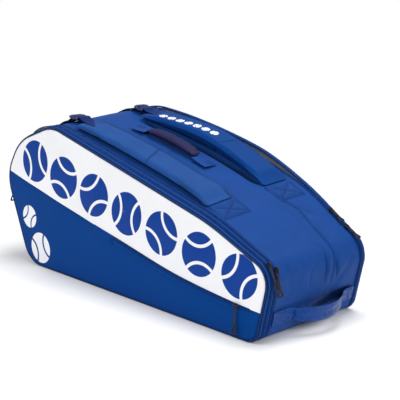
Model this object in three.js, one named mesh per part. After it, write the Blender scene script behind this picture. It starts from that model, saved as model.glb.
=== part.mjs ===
import * as THREE from "three";

// Racket tournament bag, in millimetres. +X points to the handle end and -X to the head end, -Y to
// the front cover and +Y to the rear cover, and the flat base stands on z = 0. The bag is a gusset
// that runs round the ends and over the top, with a zipped cover on each side. Most fabric pieces are
// laid on this gusset surface, which "u" follows from the base round the head end, over the top and
// down the handle end, as u goes from 0 to 1.

// ---- Driving dimensions --------------------------------------------------------------------------

const GAP = 0.3; // between pieces that touch
const FABRIC = 2.4; // foam-backed fabric
const WEBBING = 1.8;
const REST = 0.4; // between the gusset and what lies on it, which is sewn down at its edges only

// Corners of the side profile, from the head end's lower corner: x, z and the radius that rounds it.
const PROFILE = [
  [-312, 0, 62],
  [-396, 188, 80],
  [-350, 272, 110],
  [-238, 318, 90],
  [225, 202, 500],
  [376, 140, 45],
  [352, 0, 28],
];
const HALF_WIDTH = 152; // to the covers' outer rims
const CROWN = 47; // how far the rear edge of the top stands above the side profile
const CROWN_PEAK_X = 40;
const CROWN_HEAD_REACH = 500; // along the profile, from the peak to where the crown dies out
const CROWN_END_REACH = 360;

const MOUTH_BOW = 18; // how far the unzipped rear cover stands off
const MOUTH_DIP = 8.4; // how far the gusset's rear edge is drawn forward there
const MOUTH = [-330, -130, 60, 260]; // x where the mouth starts, is full, starts to close and closes

const PANEL_BULGE = 7; // the covers' fullness at mid-panel
const PIPING_RADIUS = 2.4;
const TAPE_WIDTH = 4.6; // one half of a zip: tape and coil
const COIL_HEIGHT = 2;

// Places across the bag, from the front rim inwards.
const FRONT_WALL = [-146.7, -143.2];
const COVER_ZIP_Y = -138.15; // front cover to front frame
const FRAME_STRIP = [-133.1, -130.1];
const FRAME_ZIP_Y = -125.05; // front frame to gusset
const GUSSET_FRONT_Y = FRAME_ZIP_Y + 0.15 + TAPE_WIDTH + GAP;
const REAR_ZIP_Y = 137.45; // gusset to rear cover
const REAR_WALL = [142.5, 146.6];
const GUSSET_REAR_Y = REAR_ZIP_Y - 0.15 - TAPE_WIDTH - GAP;

// Seam between the upper panel and the lower one: straight, then an arc up to the handle end.
const SEAM_BEND = new THREE.Vector2(60, 103);
const SEAM_SLOPE = -0.215;
const SEAM_RADIUS = 2000;

const BASE_THICKNESS = 3.4;
const DIVIDER = { centre: 3, frontFrame: 1.2, clearance: 0.6 }; // thicknesses, and room round the edges

const PATCH_START_X = 187; // the stitched patch that a shoulder strap ends in
const PATCH_END_X = 232;

// ---- Materials -----------------------------------------------------------------------------------

function material(color, roughness, metalness = 0) {
  return () => new THREE.MeshStandardMaterial({ color, roughness, metalness });
}
const blueFabric = material(0x1d4a9a, 0.7);
const darkBlueFabric = material(0x123a7c, 0.7);
const whiteFabric = material(0xf1f2f7, 0.55);
const greyLining = material(0xb9bcc4, 0.8);
const darkTrim = material(0x14192c, 0.6);
const blueWebbing = material(0x1f4387, 0.5);
const navyPlastic = material(0x1b2548, 0.3);
const darkMetal = material(0x24262e, 0.35, 0.8);
const board = material(0x20242c, 0.8);

const bag = new THREE.Group();

function add(name, geometry, makeMaterial) {
  const mesh = new THREE.Mesh(geometry, makeMaterial());
  mesh.name = name;
  bag.add(mesh);
  return mesh;
}

// ---- Side profile and gusset surface -------------------------------------------------------------

function unit(from, to) {
  return new THREE.Vector2(to[0] - from[0], to[1] - from[1]).normalize();
}

// Open path through the rounded corners, clockwise from the base to the base.
function roundedPath(corners) {
  const path = new THREE.Path();
  corners.forEach((corner, i) => {
    const [x, z, radius] = corner;
    const back = unit(corner, corners.at(i - 1));
    const ahead = unit(corner, corners[(i + 1) % corners.length]);
    const half = Math.acos(back.dot(ahead)) / 2;
    const reach = radius / Math.tan(half);
    const start = new THREE.Vector2(x, z).addScaledVector(back, reach);
    const end = new THREE.Vector2(x, z).addScaledVector(ahead, reach);
    const inward = back.clone().add(ahead).normalize();
    const centre = new THREE.Vector2(x, z).addScaledVector(inward, radius / Math.sin(half));
    const from = start.clone().sub(centre).angle();
    const to = end.clone().sub(centre).angle();
    if (i === 0) path.moveTo(start.x, start.y);
    else path.lineTo(start.x, start.y);
    path.absarc(centre.x, centre.y, radius, from, to, true);
  });
  return path;
}

const profile = roundedPath(PROFILE);
const profileLength = profile.getLength();

const STRAIGHT_STEP = 48; // mm
const ARC_STEP = THREE.MathUtils.degToRad(14);

// Values of u that every piece on the gusset uses: far apart on straights, close on the corners.
function profileStations() {
  const stations = [0];
  let along = 0;
  for (const curve of profile.curves) {
    const length = curve.getLength();
    const steps = Math.ceil(length / (curve.isLineCurve ? STRAIGHT_STEP : ARC_STEP * curve.xRadius));
    for (let i = 1; i <= steps; i += 1) stations.push((along + (length * i) / steps) / profileLength);
    along += length;
  }
  stations[stations.length - 1] = 1;
  return stations;
}
const STATIONS = profileStations();

function stationsBetween(start, end, extra) {
  const margin = 3 / profileLength;
  const between = STATIONS.filter((u) => u > start + margin && u < end - margin);
  return [start, ...between, ...extra, end].sort((a, b) => a - b);
}

function bisect(low, high, isPast) {
  let [a, b] = [low, high];
  for (let i = 0; i < 40; i += 1) {
    const middle = (a + b) / 2;
    if (isPast(middle)) b = middle;
    else a = middle;
  }
  return (a + b) / 2;
}

function extremeStation(score) {
  const scoreAt = (u) => score(profile.getPoint(u));
  return STATIONS.reduce((best, u) => (scoreAt(u) > scoreAt(best) ? u : best));
}
const U_HEADMOST = extremeStation((p) => -p.x);
const U_ENDMOST = extremeStation((p) => p.x);
const uOnTop = (x) => bisect(U_HEADMOST, U_ENDMOST, (u) => profile.getPoint(u).x > x);
const uOnHeadEnd = (z) => bisect(0, U_HEADMOST, (u) => profile.getPoint(u).y > z);
const uOnHandleEnd = (z) => bisect(U_ENDMOST, 1, (u) => profile.getPoint(u).y < z);

// The gusset is sewn across at two seams.
const U_HEAD_SEAM = uOnTop(-335);
const U_END_SEAM = uOnTop(PATCH_END_X + 8);
STATIONS.push(U_HEAD_SEAM, U_END_SEAM);
STATIONS.sort((a, b) => a - b);

function smoothstep(low, high, value) {
  return THREE.MathUtils.smoothstep(value, low, high);
}

const CROWN_PEAK = uOnTop(CROWN_PEAK_X) * profileLength;

// Outward rise of the gusset above the side profile.
function rise(u, y) {
  const along = u * profileLength - CROWN_PEAK;
  const reach = along < 0 ? CROWN_HEAD_REACH : CROWN_END_REACH;
  const lengthwise = Math.cos((Math.min(1, Math.abs(along) / reach) * Math.PI) / 2) ** 1.3;
  const across = THREE.MathUtils.clamp((y + HALF_WIDTH) / (2 * HALF_WIDTH), 0, 1);
  return CROWN * lengthwise * across * (1.45 - 0.45 * across);
}

// Point at height above the gusset surface; a negative height is inside the bag.
function onGusset(u, y, height) {
  const point = profile.getPoint(u);
  const tangent = profile.getTangent(u);
  const out = rise(u, y) + height;
  return new THREE.Vector3(point.x - tangent.y * out, y, point.y + tangent.x * out);
}

// Directions on the gusset surface: along it, and straight off it.
function surfaceFrame(u, y) {
  const step = 0.004;
  const along = onGusset(u + step, y, 0).sub(onGusset(u - step, y, 0)).normalize();
  return { along, out: new THREE.Vector3(-along.z, 0, along.x) };
}

// Share of the full mouth opening at x, from 0 to 1.
function mouthShare(x) {
  return smoothstep(MOUTH[0], MOUTH[1], x) * (1 - smoothstep(MOUTH[2], MOUTH[3], x));
}

// ---- Closed solids from lattices of points -------------------------------------------------------

function solid(points, faces) {
  const geometry = new THREE.BufferGeometry();
  let volume = 0;
  for (const [a, b, c] of faces) {
    volume += points[a].dot(new THREE.Vector3().crossVectors(points[b], points[c]));
  }
  const outward = volume > 0 ? faces : faces.map(([a, b, c]) => [a, c, b]);
  geometry.setAttribute("position", new THREE.Float32BufferAttribute(points.flatMap((p) => p.toArray()), 3));
  geometry.setIndex(outward.flat());
  geometry.computeVertexNormals();
  return geometry;
}

function quad(a, b, c, d) {
  return [
    [a, b, c],
    [a, c, d],
  ];
}

// Solid through closed sections of equal, even length. Its ends are capped unless it runs in a ring.
function loft(sections, isRing = false) {
  const count = sections[0].length;
  const faces = [];
  const last = isRing ? sections.length : sections.length - 1;
  for (let i = 0; i < last; i += 1) {
    const row = i * count;
    const next = ((i + 1) % sections.length) * count;
    for (let j = 0; j < count; j += 1) {
      const k = (j + 1) % count;
      faces.push(...quad(row + j, row + k, next + k, next + j));
    }
  }
  if (!isRing) {
    for (let j = 0; j < count / 2 - 1; j += 1) {
      const [a, b, c, d] = [j, j + 1, count - 2 - j, count - 1 - j];
      const row = (sections.length - 1) * count;
      faces.push(...quad(a, d, c, b), ...quad(row + a, row + b, row + c, row + d));
    }
  }
  return solid(sections.flat(), faces);
}

// Band on the gusset. outline(u) gives its section as [y, top height, bottom height] across y, place
// puts a point of it in the bag, and extra adds stations of its own.
function band(start, end, outline, place = onGusset, extra = []) {
  return loft(
    stationsBetween(start, end, extra).map((u) => {
      const across = outline(u);
      const top = across.map(([y, high]) => place(u, y, high));
      const bottom = across.map(([y, , low]) => place(u, y, low));
      return [...top, ...bottom.reverse()];
    }),
  );
}

function columns(from, to, count, high, low) {
  return Array.from({ length: count + 1 }, (_, i) => [from + ((to - from) * i) / count, high, low]);
}

// ---- Closed loops in the side view ---------------------------------------------------------------

const BASE_STEPS = 8;

// The side profile closed along the base, drawn in by inset, as points (x, z).
function rimLoop(y, inset) {
  const arch = STATIONS.map((u) => onGusset(u, y, -inset)).map((p) => new THREE.Vector2(p.x, p.z));
  const [start, end] = [arch[0], arch.at(-1)];
  for (let i = 1; i < BASE_STEPS; i += 1) arch.push(end.clone().lerp(start, i / BASE_STEPS));
  return arch;
}

const seamTurn = Math.atan(SEAM_SLOPE);
const SEAM_CENTRE = new THREE.Vector2(
  SEAM_BEND.x - SEAM_RADIUS * Math.sin(seamTurn),
  SEAM_BEND.y + SEAM_RADIUS * Math.cos(seamTurn),
);

function seamHeight(x) {
  if (x < SEAM_BEND.x) return SEAM_BEND.y + SEAM_SLOPE * (x - SEAM_BEND.x);
  return SEAM_CENTRE.y - Math.sqrt(SEAM_RADIUS ** 2 - (x - SEAM_CENTRE.x) ** 2);
}

// The part of a loop above the seam (side 1) or below it (side -1), closed along the seam.
function partOfLoop(loop, side) {
  const clearance = (p) => side * (p.y - seamHeight(p.x)) - GAP / 2;
  const first = loop.findIndex((p, i) => clearance(p) > 0 && clearance(loop.at(i - 1)) <= 0);
  const turned = [...loop.slice(first), ...loop.slice(0, first)];
  const kept = turned.filter((p) => clearance(p) > 0);
  const crossing = (inside, outside) => {
    const share = clearance(inside) / (clearance(inside) - clearance(outside));
    return inside.clone().lerp(outside, share);
  };
  const entry = crossing(kept[0], turned.at(-1));
  const exit = crossing(kept.at(-1), turned[kept.length]);
  const seam = [];
  const steps = 18;
  for (let i = 1; i < steps; i += 1) {
    const x = exit.x + ((entry.x - exit.x) * i) / steps;
    seam.push(new THREE.Vector2(x, seamHeight(x) + (side * GAP) / 2));
  }
  return [entry, ...kept, exit, ...seam];
}

// How far out of a loop's middle a point lies: 0 at the middle, 1 on the loop.
const LOOP_MIDDLE = new THREE.Vector2(-20, 140);
function loopShare(x, z, loop) {
  const ray = new THREE.Vector2(x, z).sub(LOOP_MIDDLE);
  if (ray.length() < 1) return 0;
  let share = 0;
  loop.forEach((corner, i) => {
    const a = corner.clone().sub(LOOP_MIDDLE);
    const edge = loop[(i + 1) % loop.length].clone().sub(corner);
    const denominator = ray.cross(edge);
    const reach = a.cross(edge) / denominator;
    const along = a.cross(ray) / denominator;
    if (reach > 0 && along >= -1e-9 && along <= 1 + 1e-9) share = 1 / reach;
  });
  return Math.min(1, share);
}

// Sheet that fills a loop. faceY(x, z) is its first face, and it is thickness deep along +Y.
function sheet(loop, faceY, thickness, rings) {
  const middle = loop.reduce((sum, p) => sum.add(p), new THREE.Vector2()).divideScalar(loop.length);
  const count = loop.length;
  const points = [];
  const faces = [];
  for (const depth of [0, thickness]) {
    for (let ring = rings; ring > 0; ring -= 1) {
      for (const corner of loop) {
        const p = middle.clone().lerp(corner, ring / rings);
        points.push(new THREE.Vector3(p.x, faceY(p.x, p.y) + depth, p.y));
      }
    }
    points.push(new THREE.Vector3(middle.x, faceY(middle.x, middle.y) + depth, middle.y));
  }
  const layer = rings * count + 1;
  for (let j = 0; j < count; j += 1) {
    const k = (j + 1) % count;
    for (let ring = 0; ring < rings - 1; ring += 1) {
      const [a, b] = [ring * count, (ring + 1) * count];
      faces.push(...quad(a + j, a + k, b + k, b + j));
      faces.push(...quad(layer + a + j, layer + b + j, layer + b + k, layer + a + k));
    }
    const inner = (rings - 1) * count;
    faces.push([inner + j, inner + k, layer - 1], [layer + inner + k, layer + inner + j, 2 * layer - 1]);
    faces.push(...quad(j, layer + j, layer + k, k));
  }
  return solid(points, faces);
}

// ---- Base, gusset and dividers -------------------------------------------------------------------

function base() {
  const [start, end] = [profile.getPoint(0).x + GAP, profile.getPoint(1).x - GAP];
  const halfDepth = -FRONT_WALL[0] - 0.2;
  const geometry = new THREE.BoxGeometry(end - start, 2 * halfDepth, BASE_THICKNESS);
  const mesh = add("base_board", geometry, board);
  mesh.position.set((start + end) / 2, 0, BASE_THICKNESS / 2);
}

function gussetRearY(u) {
  const { x } = profile.getPoint(u);
  return GUSSET_REAR_Y - (isOnTop(u) ? MOUTH_DIP * mouthShare(x) : 0);
}

function isOnTop(u) {
  return u > U_HEADMOST && u < U_ENDMOST;
}

function gusset() {
  const shift = GAP / 2 / profileLength;
  const outline = (u) => columns(GUSSET_FRONT_Y, gussetRearY(u), 6, 0, -FABRIC);
  add("head_end_gusset", band(0, U_HEAD_SEAM - shift, outline), blueFabric);
  add("top_gusset", band(U_HEAD_SEAM + shift, U_END_SEAM - shift, outline), blueFabric);
  add("handle_end_gusset", band(U_END_SEAM + shift, 1, outline), blueFabric);
}

function dividers() {
  const inset = FABRIC + BASE_THICKNESS + DIVIDER.clearance;
  const faceY = () => -DIVIDER.centre / 2;
  add("centre_divider", sheet(rimLoop(0, inset), faceY, DIVIDER.centre, 1), greyLining);
}

// ---- Zips ----------------------------------------------------------------------------------------

// One half of a zip: flat tape that rises to the coil beside the meeting line at meetingY(u). The coil
// dies out above the base.
function zipHalf(name, meetingY, side, place) {
  const outline = (u) => {
    const edge = meetingY(u);
    const coil = COIL_HEIGHT * smoothstep(1, 14, profile.getPoint(u).y);
    return [
      [edge + side * 0.15, coil, -1],
      [edge + side * 2.4, coil, -1],
      [edge + side * (0.15 + TAPE_WIDTH), 0, -1],
    ];
  };
  add(name, band(0, 1, outline, place), darkBlueFabric);
}

// How far the unzipped rear cover leans out at a point of the side view.
function rearLean(x, z) {
  const top = onGusset(uOnTop(THREE.MathUtils.clamp(x, -380, 368)), HALF_WIDTH, -12).z;
  return MOUTH_BOW * mouthShare(x) * Math.min(1, z / top) ** 2;
}

function onRearCover(u, y, height) {
  const point = onGusset(u, y, height);
  point.y += rearLean(point.x, point.z);
  return point;
}

function zips() {
  zipHalf("front_gusset_zip_half", () => FRAME_ZIP_Y, 1);
  zipHalf("front_frame_inner_zip_half", () => FRAME_ZIP_Y, -1);
  zipHalf("front_frame_outer_zip_half", () => COVER_ZIP_Y, 1);
  zipHalf("front_cover_zip_half", () => COVER_ZIP_Y, -1);
  zipHalf("rear_gusset_zip_half", (u) => gussetRearY(u) + GAP + TAPE_WIDTH + 0.15, -1);
  zipHalf("rear_cover_zip_half", () => REAR_ZIP_Y, 1, onRearCover);
}

// ---- Front frame and covers ----------------------------------------------------------------------

const RIM_INSET = GAP; // the walls' outer face below the gusset surface

function frontFrame() {
  const outline = () => FRAME_STRIP.map((y) => [y, -RIM_INSET, -RIM_INSET - FABRIC]);
  add("front_frame_strip", band(0, 1, outline), blueFabric);
  const faceY = () => (FRAME_STRIP[0] + FRAME_STRIP[1] - DIVIDER.frontFrame) / 2;
  const loop = rimLoop(FRAME_STRIP[0], BASE_THICKNESS + DIVIDER.clearance);
  add("front_frame_divider", sheet(loop, faceY, DIVIDER.frontFrame, 1), greyLining);
}

function piping(name, rimY, leanAt) {
  const sides = 5;
  const centres = rimLoop(rimY, PIPING_RADIUS + GAP);
  const count = centres.length;
  const sections = centres.map((centre, i) => {
    const ahead = centres[(i + 1) % count].clone().sub(centres.at(i - 1)).normalize();
    const out = new THREE.Vector2(-ahead.y, ahead.x);
    const y = Math.sign(rimY) * (HALF_WIDTH - PIPING_RADIUS - 0.2) + leanAt(centre.x, centre.y);
    return Array.from({ length: sides }, (_, k) => {
      const angle = (k / sides) * 2 * Math.PI;
      const radial = PIPING_RADIUS * Math.cos(angle);
      const across = PIPING_RADIUS * Math.sin(angle);
      return new THREE.Vector3(centre.x + out.x * radial, y + across, centre.y + out.y * radial);
    });
  });
  add(name, loft(sections, true), darkTrim);
}

const PANEL_INSET = 2 * PIPING_RADIUS + 2 * GAP;
const PANEL_RINGS = 2;
const LINING = 0.8;

function cover(side, names, leanAt) {
  const rimY = side * HALF_WIDTH;
  const outerLoop = rimLoop(rimY, 0);
  const fullness = (x, z) => PANEL_BULGE * (1 - loopShare(x, z, outerLoop) ** 3);
  const outerY = (x, z) => side * (HALF_WIDTH + fullness(x, z)) + leanAt(x, z);
  const panelY = (x, z) => outerY(x, z) - (side > 0 ? FABRIC : 0);
  const panelLoop = rimLoop(rimY, PANEL_INSET);
  const liningY = (x, z) => outerY(x, z) - side * (FABRIC + GAP) - (side > 0 ? LINING : 0);
  for (const [half, name, makeMaterial] of [[1, names.upper, whiteFabric], [-1, names.lower, blueFabric]]) {
    const loop = partOfLoop(panelLoop, half);
    add(`${name}_panel`, sheet(loop, panelY, FABRIC, PANEL_RINGS), makeMaterial);
    add(`${name}_lining`, sheet(loop, liningY, LINING, PANEL_RINGS), greyLining);
  }
  piping(names.piping, rimY, leanAt);
}

function covers() {
  const upright = () => 0;
  cover(-1, { upper: "front_upper", lower: "front_pocket", piping: "front_piping" }, upright);
  cover(1, { upper: "rear_upper", lower: "rear_lower", piping: "rear_piping" }, rearLean);
  const wall = (edges) => () => edges.map((y) => [y, -RIM_INSET, -RIM_INSET - FABRIC]);
  add("front_cover_wall", band(0, 1, wall(FRONT_WALL)), blueFabric);
  add("rear_cover_wall", band(0, 1, wall(REAR_WALL), onRearCover), blueFabric);
}

// ---- Pocket zip on the front cover ---------------------------------------------------------------

const POCKET_ZIP = { start: -24, end: 336, width: 9, proud: 2.2 }; // start and end along x
const POCKET_SLIDER_X = 307;
const GARAGE = { length: 60, drop: 19, proud: 1.8 }; // flap over the zip's start

const frontLoop = rimLoop(-HALF_WIDTH, 0);
function frontPanelY(x, z) {
  return -HALF_WIDTH - PANEL_BULGE * (1 - loopShare(x, z, frontLoop) ** 3);
}

function seamFrame(x) {
  const angle = x < SEAM_BEND.x ? seamTurn : Math.asin((x - SEAM_CENTRE.x) / SEAM_RADIUS);
  return { along: new THREE.Vector2(Math.cos(angle), Math.sin(angle)), z: seamHeight(x) };
}

// Strip on the front panel along the seam, between two heights across it and two depths off the panel.
function seamStrip(start, end, steps, [low, high], [near, far]) {
  const sections = Array.from({ length: steps + 1 }, (_, i) => {
    const x = start + ((end - start) * i) / steps;
    const { along, z } = seamFrame(x);
    const place = (across, depth) => {
      const [px, pz] = [x - along.y * across, z + along.x * across];
      return new THREE.Vector3(px, frontPanelY(px, pz) - depth, pz);
    };
    return [place(low, near), place(high, near), place(high, far), place(low, far)];
  });
  return loft(sections);
}

function pocketZip() {
  const { start, end, width, proud } = POCKET_ZIP;
  const zip = seamStrip(start, end, 16, [-width / 2, width / 2], [REST, proud]);
  add("pocket_zip", zip, darkBlueFabric);
  const flapEnd = start - REST;
  const flapStart = flapEnd - GARAGE.length;
  const flap = seamStrip(flapStart, flapEnd, 4, [-GARAGE.drop, width / 2], [REST, GARAGE.proud]);
  add("pocket_zip_garage", flap, darkBlueFabric);
}

// ---- Zip sliders and pulls -----------------------------------------------------------------------

const SLIDER = { length: 13, width: 5, plate: 2, bridge: 9, height: 6.4, lift: 0.5 };
const WINDOW = { halfLength: 2.6, low: 2.4, high: 4.9 };
const PULL = { thickness: 1.6, ring: 9, hole: 6, cord: 4, tip: 13, tipLength: 15 };
const PULL_LENGTHS = { hanging: 50, onZip: 34 };
const PULL_PIVOT = (WINDOW.low + WINDOW.high) / 2;

function rectangleHole([x0, y0], [x1, y1]) {
  const hole = new THREE.Path();
  hole.moveTo(x0, y0);
  hole.lineTo(x0, y1);
  hole.lineTo(x1, y1);
  hole.lineTo(x1, y0);
  hole.closePath();
  return hole;
}

// Slider in its own frame: X along the zip, Z off the tape, extruded across the zip.
function sliderGeometry() {
  const side = new THREE.Shape();
  side.moveTo(-SLIDER.length / 2, 0);
  side.lineTo(SLIDER.length / 2, 0);
  side.lineTo(SLIDER.length / 2, SLIDER.plate);
  side.lineTo(SLIDER.bridge / 2, SLIDER.plate);
  side.lineTo(SLIDER.bridge / 2 - 1, SLIDER.height);
  side.lineTo(1 - SLIDER.bridge / 2, SLIDER.height);
  side.lineTo(-SLIDER.bridge / 2, SLIDER.plate);
  side.lineTo(-SLIDER.length / 2, SLIDER.plate);
  side.closePath();
  side.holes.push(rectangleHole([-WINDOW.halfLength, WINDOW.low], [WINDOW.halfLength, WINDOW.high]));
  const geometry = new THREE.ExtrudeGeometry(side, { depth: SLIDER.width, bevelEnabled: false });
  geometry.rotateX(Math.PI / 2);
  geometry.translate(0, SLIDER.width / 2, 0);
  return geometry;
}

// Pull in its own frame: hangs along -Z from a bar on the Y axis, flat across X.
function pullGeometry(length) {
  const bar = PULL.thickness / 2;
  const outline = new THREE.Shape();
  outline.moveTo(-PULL.ring / 2, bar);
  outline.lineTo(-PULL.ring / 2, -9);
  outline.lineTo(-PULL.cord / 2, -12);
  outline.lineTo(-PULL.cord / 2, PULL.tipLength - length);
  outline.lineTo(-PULL.tip / 2, -length);
  outline.lineTo(PULL.tip / 2, -length);
  outline.lineTo(PULL.cord / 2, PULL.tipLength - length);
  outline.lineTo(PULL.cord / 2, -12);
  outline.lineTo(PULL.ring / 2, -9);
  outline.lineTo(PULL.ring / 2, bar);
  outline.closePath();
  outline.holes.push(rectangleHole([-PULL.hole / 2, -8], [PULL.hole / 2, -bar]));
  const geometry = new THREE.ExtrudeGeometry(outline, { depth: PULL.thickness, bevelEnabled: false });
  geometry.translate(0, 0, -PULL.thickness / 2);
  geometry.rotateX(Math.PI / 2);
  geometry.rotateZ(Math.PI / 2);
  return geometry;
}

// A slider on a zip at point, and its pull. along is the zip's direction and out points off the tape.
// A pull that hangs across the zip is clear of the bridge, below the slider.
function slider(name, point, along, out, hang) {
  const across = new THREE.Vector3().crossVectors(out, along);
  const body = add(`${name}_slider`, sliderGeometry(), darkMetal);
  body.position.copy(point).addScaledVector(out, SLIDER.lift);
  body.quaternion.setFromRotationMatrix(new THREE.Matrix4().makeBasis(along, across, out));
  const length = hang === along ? PULL_LENGTHS.onZip : PULL_LENGTHS.hanging;
  const pull = add(`${name}_pull`, pullGeometry(length), darkTrim);
  pull.position.copy(point).addScaledVector(out, SLIDER.lift + PULL_PIVOT);
  const hangsAcross = Math.abs(hang.dot(across)) > 0.5;
  if (hangsAcross) pull.position.addScaledVector(hang, (SLIDER.width + PULL.thickness) / 2 + 2 * GAP);
  const up = hang.clone().negate();
  const bar = new THREE.Vector3().crossVectors(up, out).normalize();
  const face = new THREE.Vector3().crossVectors(bar, up);
  pull.quaternion.setFromRotationMatrix(new THREE.Matrix4().makeBasis(face, bar, up));
}

// Slider on a zip round the gusset, over the half tape whose middle is at y. Its pull lies along the
// zip unless it hangs.
function rimSlider(name, u, y, hang) {
  const { along, out } = surfaceFrame(u, y);
  slider(name, onGusset(u, y, COIL_HEIGHT), along, out, hang ?? along);
}

// Direction of a pull that hangs down and leans towards +X by an angle in degrees.
function hanging(lean) {
  const angle = THREE.MathUtils.degToRad(lean);
  return new THREE.Vector3(Math.sin(angle), 0, -Math.cos(angle));
}

const FRAME_SLIDER_Y = FRAME_ZIP_Y + 0.15 + SLIDER.width / 2;
const COVER_SLIDER_Y = COVER_ZIP_Y + 0.15 + SLIDER.width / 2;

function sliders() {
  rimSlider("front_frame", uOnTop(363), FRAME_SLIDER_Y, hanging(15));
  rimSlider("front_cover", uOnTop(356), COVER_SLIDER_Y, hanging(28));
  rimSlider("front_cover_head_end", uOnHeadEnd(175), COVER_SLIDER_Y, hanging(0));
  for (const [name, x] of [["rear_first", 284], ["rear_second", 328]]) {
    const u = uOnTop(x);
    rimSlider(name, u, gussetRearY(u) + GAP + SLIDER.width / 2);
  }
  const { along, z } = seamFrame(POCKET_SLIDER_X);
  const y = frontPanelY(POCKET_SLIDER_X, z) - POCKET_ZIP.proud;
  const point = new THREE.Vector3(POCKET_SLIDER_X, y, z);
  slider("pocket", point, new THREE.Vector3(along.x, 0, along.y), new THREE.Vector3(0, -1, 0), hanging(0));
}

// ---- Shoulder straps -----------------------------------------------------------------------------

// Each strap's middle line, head end, and how far it and its webbing lift off the gusset.
const STRAPS = [
  { side: "front", y: -80, start: -215, slack: 1.5, webbingLift: 24 },
  { side: "rear", y: 80, start: -192, slack: 12, webbingLift: 8 },
];
const STRAP = { width: 76, thickness: 9, edge: 2 };
const STRAP_TAB = { length: 44, width: 31 };
// The webbing is free between two shares of its length. Its sewn end is slant nearer the bag's side.
const STRAP_WEBBING = { width: 30, sewnZ: 178, rest: 0.6, free: [0.05, 0.75], slant: 14 };
const LOCK = { length: 26, width: 39, thickness: 6, slot: 6, slotWidth: 32, spacing: 5.3, corner: 5 };

// Height of a strap's underside above the gusset: it lies on both ends and lifts between them.
function strapLift(strap, x) {
  const share = THREE.MathUtils.clamp((x - strap.start) / (PATCH_START_X - strap.start), 0, 1);
  return 0.5 + strap.slack * Math.sin(Math.PI * share) ** 2;
}

function xOnTop(u) {
  return profile.getPoint(u).x;
}

function shoulderStrap(strap) {
  const edges = [0, 0.04, 0.14, 0.38, 0.62, 0.86, 0.96, 1];
  const outline = (u) => {
    const lift = strapLift(strap, xOnTop(u));
    return edges.map((share) => {
      const full = (1 - Math.abs(2 * share - 1) ** 6) ** 0.5;
      const high = lift + STRAP.edge + (STRAP.thickness - STRAP.edge) * full;
      return [strap.y + STRAP.width * (share - 0.5), high, lift];
    });
  };
  const end = uOnTop(PATCH_START_X - 2 * GAP);
  add(`${strap.side}_shoulder_strap`, band(uOnTop(strap.start), end, outline), blueFabric);
}

// Webbing stitched on the pad's head end, which the ladder lock hangs from.
function strapTab(strap) {
  const start = strap.start + 1;
  const half = STRAP_TAB.width / 2;
  const outline = (u) => {
    const low = strapLift(strap, xOnTop(u)) + STRAP.thickness + GAP;
    return columns(strap.y - half, strap.y + half, 2, low + WEBBING, low);
  };
  const tab = band(uOnTop(start), uOnTop(start + STRAP_TAB.length), outline);
  add(`${strap.side}_strap_tab`, tab, darkBlueFabric);
}

function ladderLock(strap) {
  const { length, width, thickness, slot, slotWidth, corner } = LOCK;
  const frame = new THREE.Shape();
  const [halfLength, halfWidth] = [length / 2, width / 2];
  frame.moveTo(-halfLength + corner, -halfWidth);
  frame.lineTo(halfLength - corner, -halfWidth);
  frame.quadraticCurveTo(halfLength, -halfWidth, halfLength, -halfWidth + corner);
  frame.lineTo(halfLength, halfWidth - corner);
  frame.quadraticCurveTo(halfLength, halfWidth, halfLength - corner, halfWidth);
  frame.lineTo(-halfLength + corner, halfWidth);
  frame.quadraticCurveTo(-halfLength, halfWidth, -halfLength, halfWidth - corner);
  frame.lineTo(-halfLength, -halfWidth + corner);
  frame.quadraticCurveTo(-halfLength, -halfWidth, -halfLength + corner, -halfWidth);
  for (const middle of [-1, 1]) {
    const low = [middle * LOCK.spacing - slot / 2, -slotWidth / 2 - middle * 0.5];
    const high = [middle * LOCK.spacing + slot / 2, slotWidth / 2 + middle * 0.5];
    frame.holes.push(rectangleHole(low, high));
  }
  const settings = { depth: thickness, bevelEnabled: false, curveSegments: 3 };
  const geometry = new THREE.ExtrudeGeometry(frame, settings);
  const mesh = add(`${strap.side}_ladder_lock`, geometry, navyPlastic);
  const u = uOnTop(strap.start - halfLength - 1);
  const { along, out } = surfaceFrame(u, strap.y);
  const across = new THREE.Vector3().crossVectors(out, along);
  mesh.position.copy(onGusset(u, strap.y, STRAP.thickness - 1));
  mesh.quaternion.setFromRotationMatrix(new THREE.Matrix4().makeBasis(along, across, out));
}

// Webbing from the ladder lock, loosely over the head end's top corner, to where it is sewn on.
function strapWebbing(strap) {
  const sewn = uOnHeadEnd(STRAP_WEBBING.sewnZ);
  const start = uOnTop(strap.start - 6);
  const half = STRAP_WEBBING.width / 2;
  const [from, to] = STRAP_WEBBING.free;
  const outline = (u) => {
    const share = (u - sewn) / (start - sewn);
    const free = THREE.MathUtils.clamp((share - from) / (to - from), 0, 1);
    const low = STRAP_WEBBING.rest + strap.webbingLift * Math.sin(Math.PI * free) ** 1.5;
    const middle = strap.y + Math.sign(strap.y) * STRAP_WEBBING.slant * (1 - share);
    return columns(middle - half, middle + half, 2, low + WEBBING, low);
  };
  add(`${strap.side}_webbing`, band(sewn, start, outline), darkTrim);
}

function strapPatch(strap) {
  const half = STRAP.width / 2;
  const outline = () => columns(strap.y - half, strap.y + half, 4, REST + 2.2, REST);
  const patch = band(uOnTop(PATCH_START_X), uOnTop(PATCH_END_X), outline);
  add(`${strap.side}_strap_patch`, patch, blueFabric);
}

function straps() {
  for (const strap of STRAPS) {
    shoulderStrap(strap);
    strapTab(strap);
    ladderLock(strap);
    strapWebbing(strap);
    strapPatch(strap);
  }
}

// ---- Grab handle on top --------------------------------------------------------------------------

const GRAB = { start: -112, end: 47, width: 30, endWidth: 14, thickness: 8, endThickness: 3 };
const GRAB_ARCH = { foot: 4.6, height: 9 };
const GRAB_TAB = { length: 32, width: 34, thickness: 1.8, ramp: 14 };

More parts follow.
